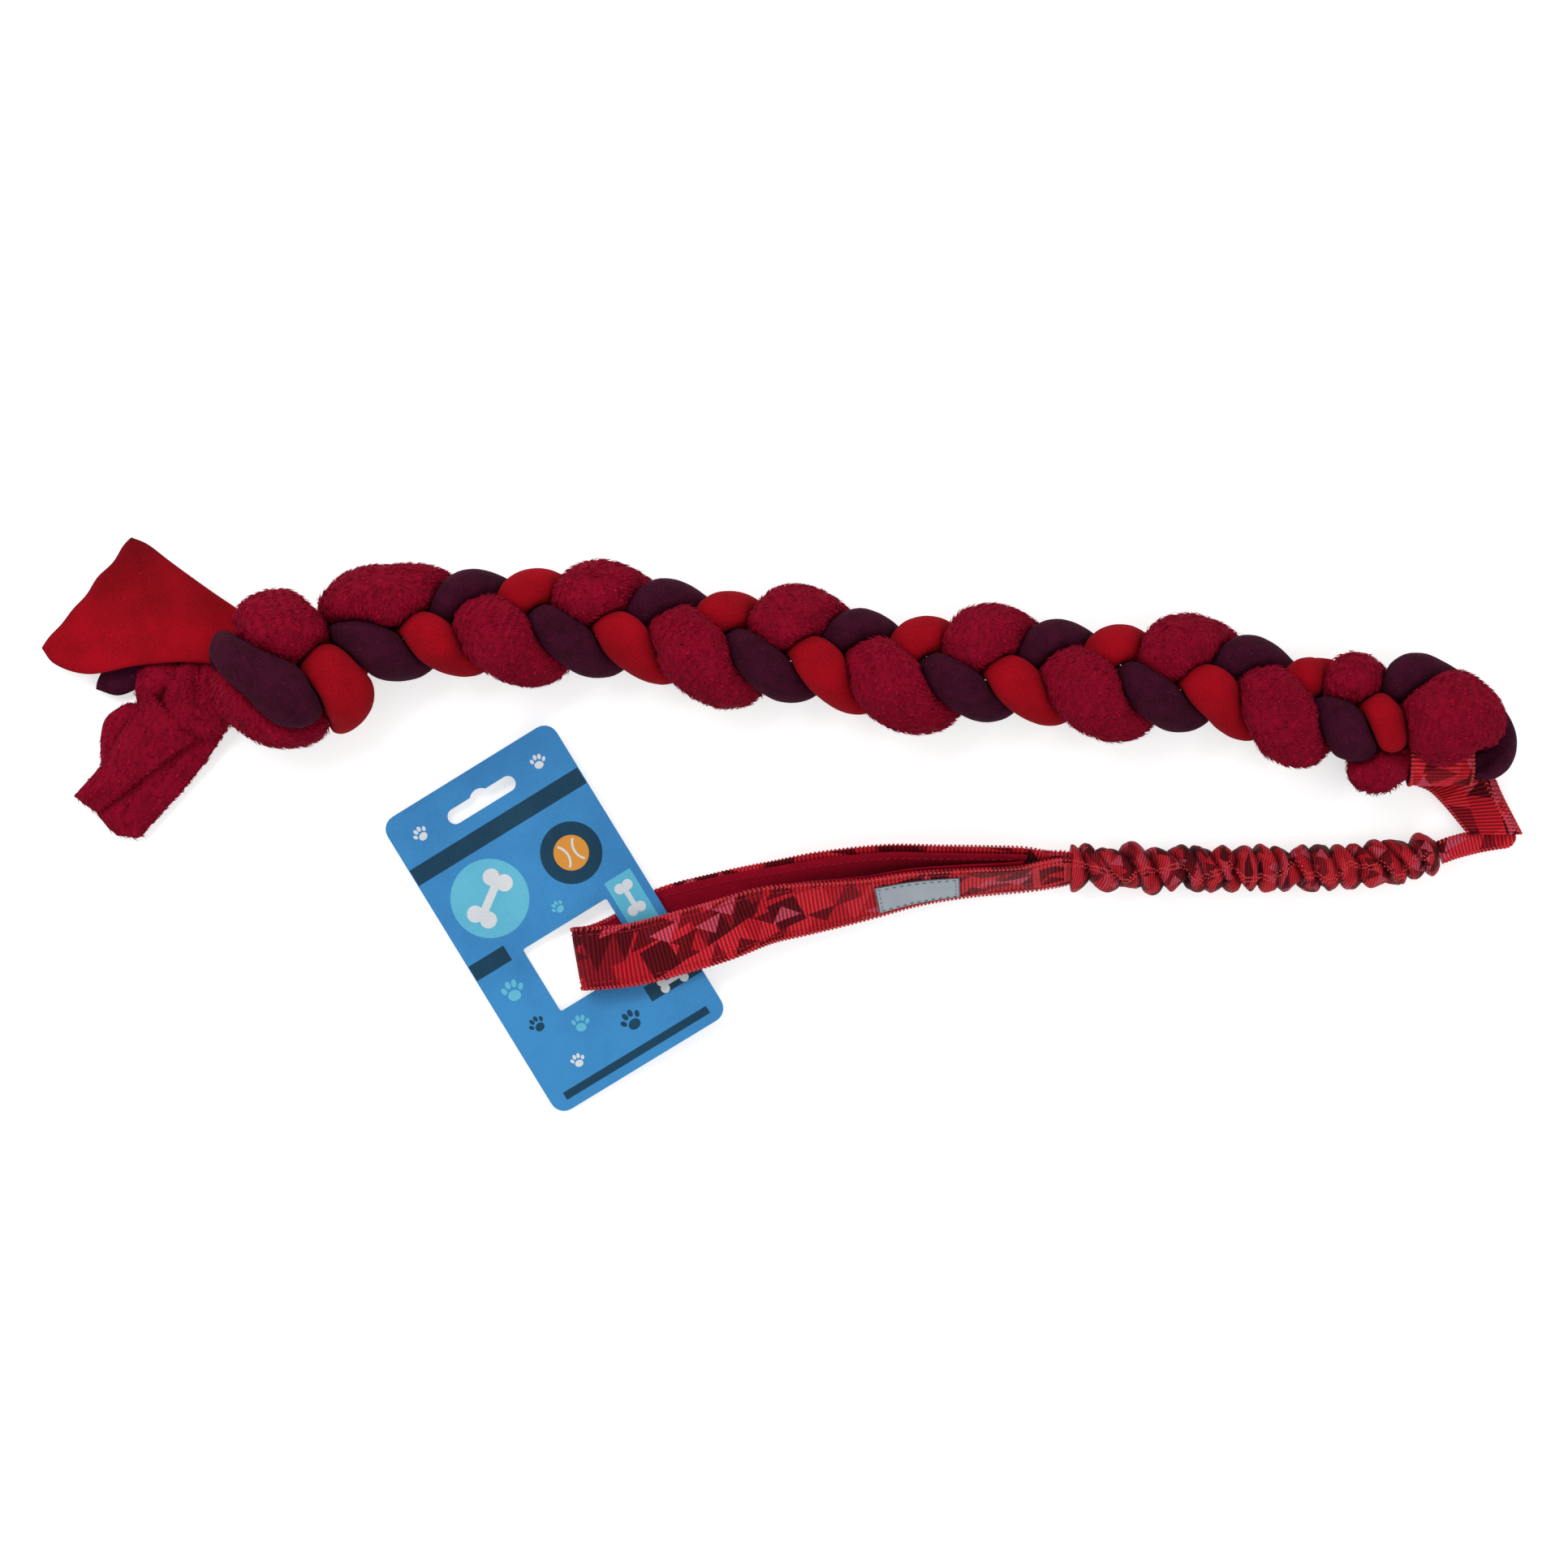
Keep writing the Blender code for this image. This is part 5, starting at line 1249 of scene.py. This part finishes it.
handle_run = ROW_STEP * (len(handle) - 1)
for name, side, node in (("handle_row_upper", ROW_SIDE, "handle_stitching_upper"),
                         ("handle_row_lower", -ROW_SIDE, "handle_stitching_lower")):
    row = stitch_row(name, NECK_RUN, handle_run - NECK_RUN, side, handle_top, (0.0024, 0.00026),
                     THREAD)
    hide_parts(node)
LINING_THREAD = thread_material("lining thread", (0.42, 0.012, 0.03))
for name, side in (("lining_row_upper", ROW_SIDE - LINING_SHIFT),
                   ("lining_row_lower", LINING_SHIFT - ROW_SIDE)):
    stitch_row(name, NECK_RUN + LINING_SHORT, handle_run - NECK_RUN - LINING_SHORT, side,
               -HANDLE_LAYER - LINING_THICKNESS, (0.0022, 0.00026), LINING_THREAD)

# Neck stitching
# A box of zigzag bar tacks that closes the handle loop, in the same red thread.
BOX_FROM, BOX_TO = 0.0025, 0.0195  # along the handle, from the sleeve
BOX_SIDE = 0.0088
BOX_TACK = 0.0032  # length of a zigzag tack along the handle
BOX_INSET = 0.0008
BOX_PITCH = 0.0019
zigzag = []


def tack(along, side, ahead_share, slant):
    place, ahead, across, normal = on_strip(handle, along, side, handle_top)
    zigzag.append((place, ahead * ahead_share + across * slant, normal))


for low in (BOX_FROM, BOX_TO - BOX_TACK):
    for k in range(15):
        for along, slant in ((low + BOX_INSET, 1), (low + BOX_TACK - BOX_INSET, -1)):
            tack(along, BOX_SIDE * (k / 7 - 1), 2.2, slant)
for side in (-BOX_SIDE, BOX_SIDE):
    for along in np.arange(BOX_FROM, BOX_TO, BOX_PITCH):
        tack(along, side, 1, 0.4)
box = sew("neck_box", zigzag, (0.0022, 0.00030), CHAIN, None, sides=6)
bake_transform(box)
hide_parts("neck_stitching")

# Label
# A small grey-blue woven label with a dark turned edge, left bare, sewn to the front of
# the handle with short stitches all round.
LABEL_LENGTH, LABEL_WIDTH = 0.034, 0.0165
LABEL_AT = 0.0557  # X of its middle
LABEL_SIDE = -0.0012
LABEL_EDGE = 0.0006
LABEL_THICKNESS = 0.0006
TURNING_THICKNESS = 0.0005
TACK_INSET = 0.0011
TACKS_ALONG, TACKS_ACROSS = (0.0016, 0.0010), (0.0035, 0.0020)  # where each row starts and stops
# How far each lies above the webbing
TURNING_LIFT, LABEL_LIFT, TACK_LIFT = 0.00040, 0.00055, 0.00085
LABEL_WEAVE = 0.00045


def label_material(name, colour, groove_shade):
    surface, tree, shader = new_shader(name, 0.45)
    flat = flat_place(tree)
    place = split(tree, flat)
    rows, picks = (add_math(tree, "SINE", add_math(tree, "MULTIPLY", place[axis],
                                                   2 * math.pi / LABEL_WEAVE)) for axis in "YX")
    weave = add_range(tree, add_math(tree, "MULTIPLY", rows, picks), -1.0, 1.0, 0.0, 1.0)
    cloudy = add_noise(tree, flat, 90, 3.0, 0.6)
    shade = add_math(tree, "MULTIPLY", weave, add_range(tree, cloudy, 0.3, 0.7, 0.5, 1.0))
    # Painted shade: the weave's hollows take the darker groove colour. The cloudy noise is the
    # label's own tone.
    tree.links.new(add_mix(tree, shade, (*groove_shade, 1), (*colour, 1)), shader.inputs["Base Color"])
    add_relief(tree, shader, weave, 0.4, 0.0001)
    return surface


LABEL = label_material("woven label", (0.54, 0.61, 0.67), (0.33, 0.39, 0.45))
LABEL_TURNING = label_material("label turning", (0.13, 0.10, 0.12), (0.05, 0.04, 0.05))
front = handle[:len(handle) // 2]
label_middle = next(i for i, row in enumerate(front) if row[0][0] < LABEL_AT) * ROW_STEP


def label_line(length):
    rows = []
    for along in np.linspace(label_middle - length / 2, label_middle + length / 2, 60):
        place, _, across, normal = on_strip(handle, along, LABEL_SIDE, 0.0)
        rows.append((place, across, normal, 1.0))
    return rows


turning = make_strip("label_turning", label_line(LABEL_LENGTH + 2 * LABEL_EDGE),
                     LABEL_WIDTH + 2 * LABEL_EDGE, TURNING_THICKNESS, LABEL_TURNING, "handle",
                     lift=handle_top + TURNING_LIFT, ribbed=False)
label = make_strip("woven_label", label_line(LABEL_LENGTH), LABEL_WIDTH, LABEL_THICKNESS, LABEL,
                   "handle", lift=handle_top + LABEL_LIFT, ribbed=False)
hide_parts("handle_label")
LABEL_THREAD = thread_material("label thread", (0.20, 0.22, 0.26))
half_length, half_width = LABEL_LENGTH / 2, LABEL_WIDTH / 2
places = [(along, side, True) for side in (TACK_INSET - half_width, half_width - TACK_INSET)
          for along in np.arange(TACKS_ALONG[0] - half_length, half_length - TACKS_ALONG[1],
                                 ROW_PITCH)]
places += [(end, side, False) for end in (TACK_INSET - half_length, half_length - TACK_INSET)
           for side in np.arange(TACKS_ACROSS[0] - half_width, half_width - TACKS_ACROSS[1],
                                 ROW_PITCH)]
tacks = []
for along, side, lengthwise in places:
    place, ahead, across, normal = on_strip(handle, label_middle + along, LABEL_SIDE + side,
                                            handle_top + TACK_LIFT)
    tacks.append((place, ahead if lengthwise else across, normal))
tacking = sew("label_tacking", tacks, (0.0017, 0.00020), LABEL_THREAD, "handle")
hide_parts("label_stitching")

# Hang card
# Coated board printed bright blue, punched with a slot for a shop's hook and a window
# that the handle goes through. The print is a plain one of bones, a ball and paw prints.
CARD_PLACE = (-0.1667, 0.001, 0.0003)
CARD_TILT = 5.6
CARD_TURN = 31.5
CARD_TOP = 0.8  # millimetres, as are all places on the card: across, and down from its top
INK_LEVEL = 0.03
CARD_ROUGHNESS = 0.38


def card_material(name, colour, deep):
    """Coated board or ink: cloudy, a little speckled, brighter towards the lower end."""
    surface, tree, shader = new_shader(name, CARD_ROUGHNESS, 0.22)
    where = object_place(tree)
    cloudy = add_noise(tree, where, 22, 4.0, 0.6)
    speckle = add_noise(tree, where, 1500, 2.0, 0.6)
    fade = add_range(tree, split(tree, where)["Y"], -0.10, 0.04, 0.22, -0.12)
    tone = add_math(tree, "ADD", add_math(tree, "MULTIPLY", cloudy, 0.9), fade)
    tone = add_math(tree, "ADD", tone, add_range(tree, speckle, 0.3, 0.7, -0.10, 0.10))
    shade = add_range(tree, tone, 0.30, 0.66, 0.0, 1.0)
    tree.links.new(add_mix(tree, shade, (*deep, 1), (*colour, 1)), shader.inputs["Base Color"])
    gloss = add_range(tree, cloudy, 0.3, 0.7, CARD_ROUGHNESS - 0.06, CARD_ROUGHNESS + 0.10)
    tree.links.new(gloss, shader.inputs["Roughness"])
    add_relief(tree, shader, speckle, 0.12, 0.0001)
    return surface


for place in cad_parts["hang_card"].material_slots:
    place.material = card_material("printed blue board", (0.055, 0.32, 0.70), (0.040, 0.23, 0.54))
NAVY = card_material("navy ink", (0.008, 0.065, 0.125), (0.004, 0.040, 0.085))
CYAN = card_material("pale blue ink", (0.16, 0.60, 0.80), (0.11, 0.50, 0.72))
WHITE = card_material("white ink", (0.86, 0.88, 0.90), (0.70, 0.76, 0.82))
ORANGE = card_material("orange ink", (0.85, 0.37, 0.06), (0.76, 0.30, 0.04))


def turned(x, y, lean, points):
    """Points turned by some degrees and moved to x, y."""
    cos, sin = math.cos(math.radians(lean)), math.sin(math.radians(lean))
    return [(x + a * cos - b * sin, y + a * sin + b * cos) for a, b in points]


def on_card(x, y, height):
    (x, z), = turned(0, 0, CARD_TILT, [(x, height)])
    (x, y), = turned(0, 0, CARD_TURN, [(x, -y)])
    return tuple(start + off / 1000 for start, off in zip(CARD_PLACE, (x, y, z)))


def print_shapes(name, shapes, surface, level=1):
    """Thin layers of ink, each shape an outline in the card's own millimetres."""
    verts, faces = [], []
    for outline in shapes:
        base, count = len(verts), len(outline)
        for height in (CARD_TOP - 0.01, CARD_TOP + INK_LEVEL * level):
            verts += [on_card(x, y, height) for x, y in outline]
        faces += [tuple(base + i for i in range(count)),
                  tuple(base + count + i for i in reversed(range(count)))]
        faces += [(base + i, base + count + i, base + count + (i + 1) % count,
                   base + (i + 1) % count) for i in range(count)]
    ink = turn_out(add_mesh(name, verts, faces, surface))
    ink.data.shade_flat()
    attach(ink, "card")


def oval(x, y, wide, high, lean=0.0, count=40):
    angles = [2 * math.pi * k / count for k in range(count)]
    return turned(x, y, lean, [(wide * math.cos(t), high * math.sin(t)) for t in angles])


def bar(x, y, length, width):
    return [(x + a * length / 2, y + b * width / 2)
            for a, b in ((-1, -1), (1, -1), (1, 1), (-1, 1))]


def bone(x, y, length, lean):
    """A dog biscuit's outline: a bar with two round knobs at each end."""
    knob = length * 0.15
    end = []
    for side, angles in ((0.82, range(200, -61, -20)), (-0.82, range(60, -201, -20))):
        end += [(length / 2 - knob + knob * math.cos(math.radians(t)),
                 knob * (side + math.sin(math.radians(t)))) for t in angles]
    return turned(x, y, lean, end + [(-a, -b) for a, b in end])


def stroke(x, y, radius, start, stop, width):
    """A curved stroke's outline, from one angle to another round a centre."""
    angles = [math.radians(start + (stop - start) * k / 14) for k in range(15)]
    outer, inner = ([(x + r * math.cos(t), y + r * math.sin(t)) for t in angles]
                    for r in (radius + width / 2, radius - width / 2))
    return outer + inner[::-1]


def paw(x, y, size, lean):
    """One pad and four toes."""
    shapes = []
    for a, b, wide, high, tip in ((0, 0.25, 0.42, 0.34, 0), (-0.55, -0.18, 0.16, 0.23, -25),
                                  (-0.20, -0.48, 0.17, 0.25, -8), (0.20, -0.48, 0.17, 0.25, 8),
                                  (0.55, -0.18, 0.16, 0.23, 25)):
        middle, = turned(x, y, lean, [(size * a, size * b)])
        shapes.append(oval(*middle, size * wide, size * high, lean + tip, 24))
    return shapes


print_shapes("card_bars", [bar(41.5, 26.5, 82.4, 7.5), bar(8.9, 73.0, 17.2, 7.0),
                           bar(70.5, 118.0, 24.4, 7.0), bar(41.5, 136.2, 70.0, 3.4)], NAVY)
print_shapes("card_badges", [oval(23.0, 50.0, 16.5, 16.5, count=64),
                             bar(73.2, 84.5, 12.5, 30.0)], CYAN)
print_shapes("card_disc", [oval(62.0, 51.5, 13.0, 13.0, count=56)], NAVY)
print_shapes("card_bones", [bone(23.0, 50.0, 24.0, -35), bone(73.2, 80.0, 15.0, 90),
                            bone(70.5, 118.0, 13.0, 0)], WHITE, level=2)
print_shapes("card_ball", [oval(62.0, 51.5, 7.4, 7.4)], ORANGE, level=2)
print_shapes("card_ball_seams", [stroke(53.6, 51.5, 6.8, -46, 46, 0.9),
                                 stroke(70.4, 51.5, 6.8, 134, 226, 0.9)], WHITE, level=3)
print_shapes("card_paws_pale", paw(11.0, 88.0, 6.6, 12) + paw(45.5, 68.0, 4.0, -20)
             + paw(28.0, 114.0, 5.2, 24), CYAN)
print_shapes("card_paws_dark", paw(12.5, 105.0, 5.0, -14) + paw(47.0, 124.0, 6.4, -8), NAVY)
print_shapes("card_paws_white", paw(12.5, 12.5, 4.6, -16) + paw(70.0, 12.5, 4.6, 16)
             + paw(19.0, 126.5, 4.2, 8), WHITE)
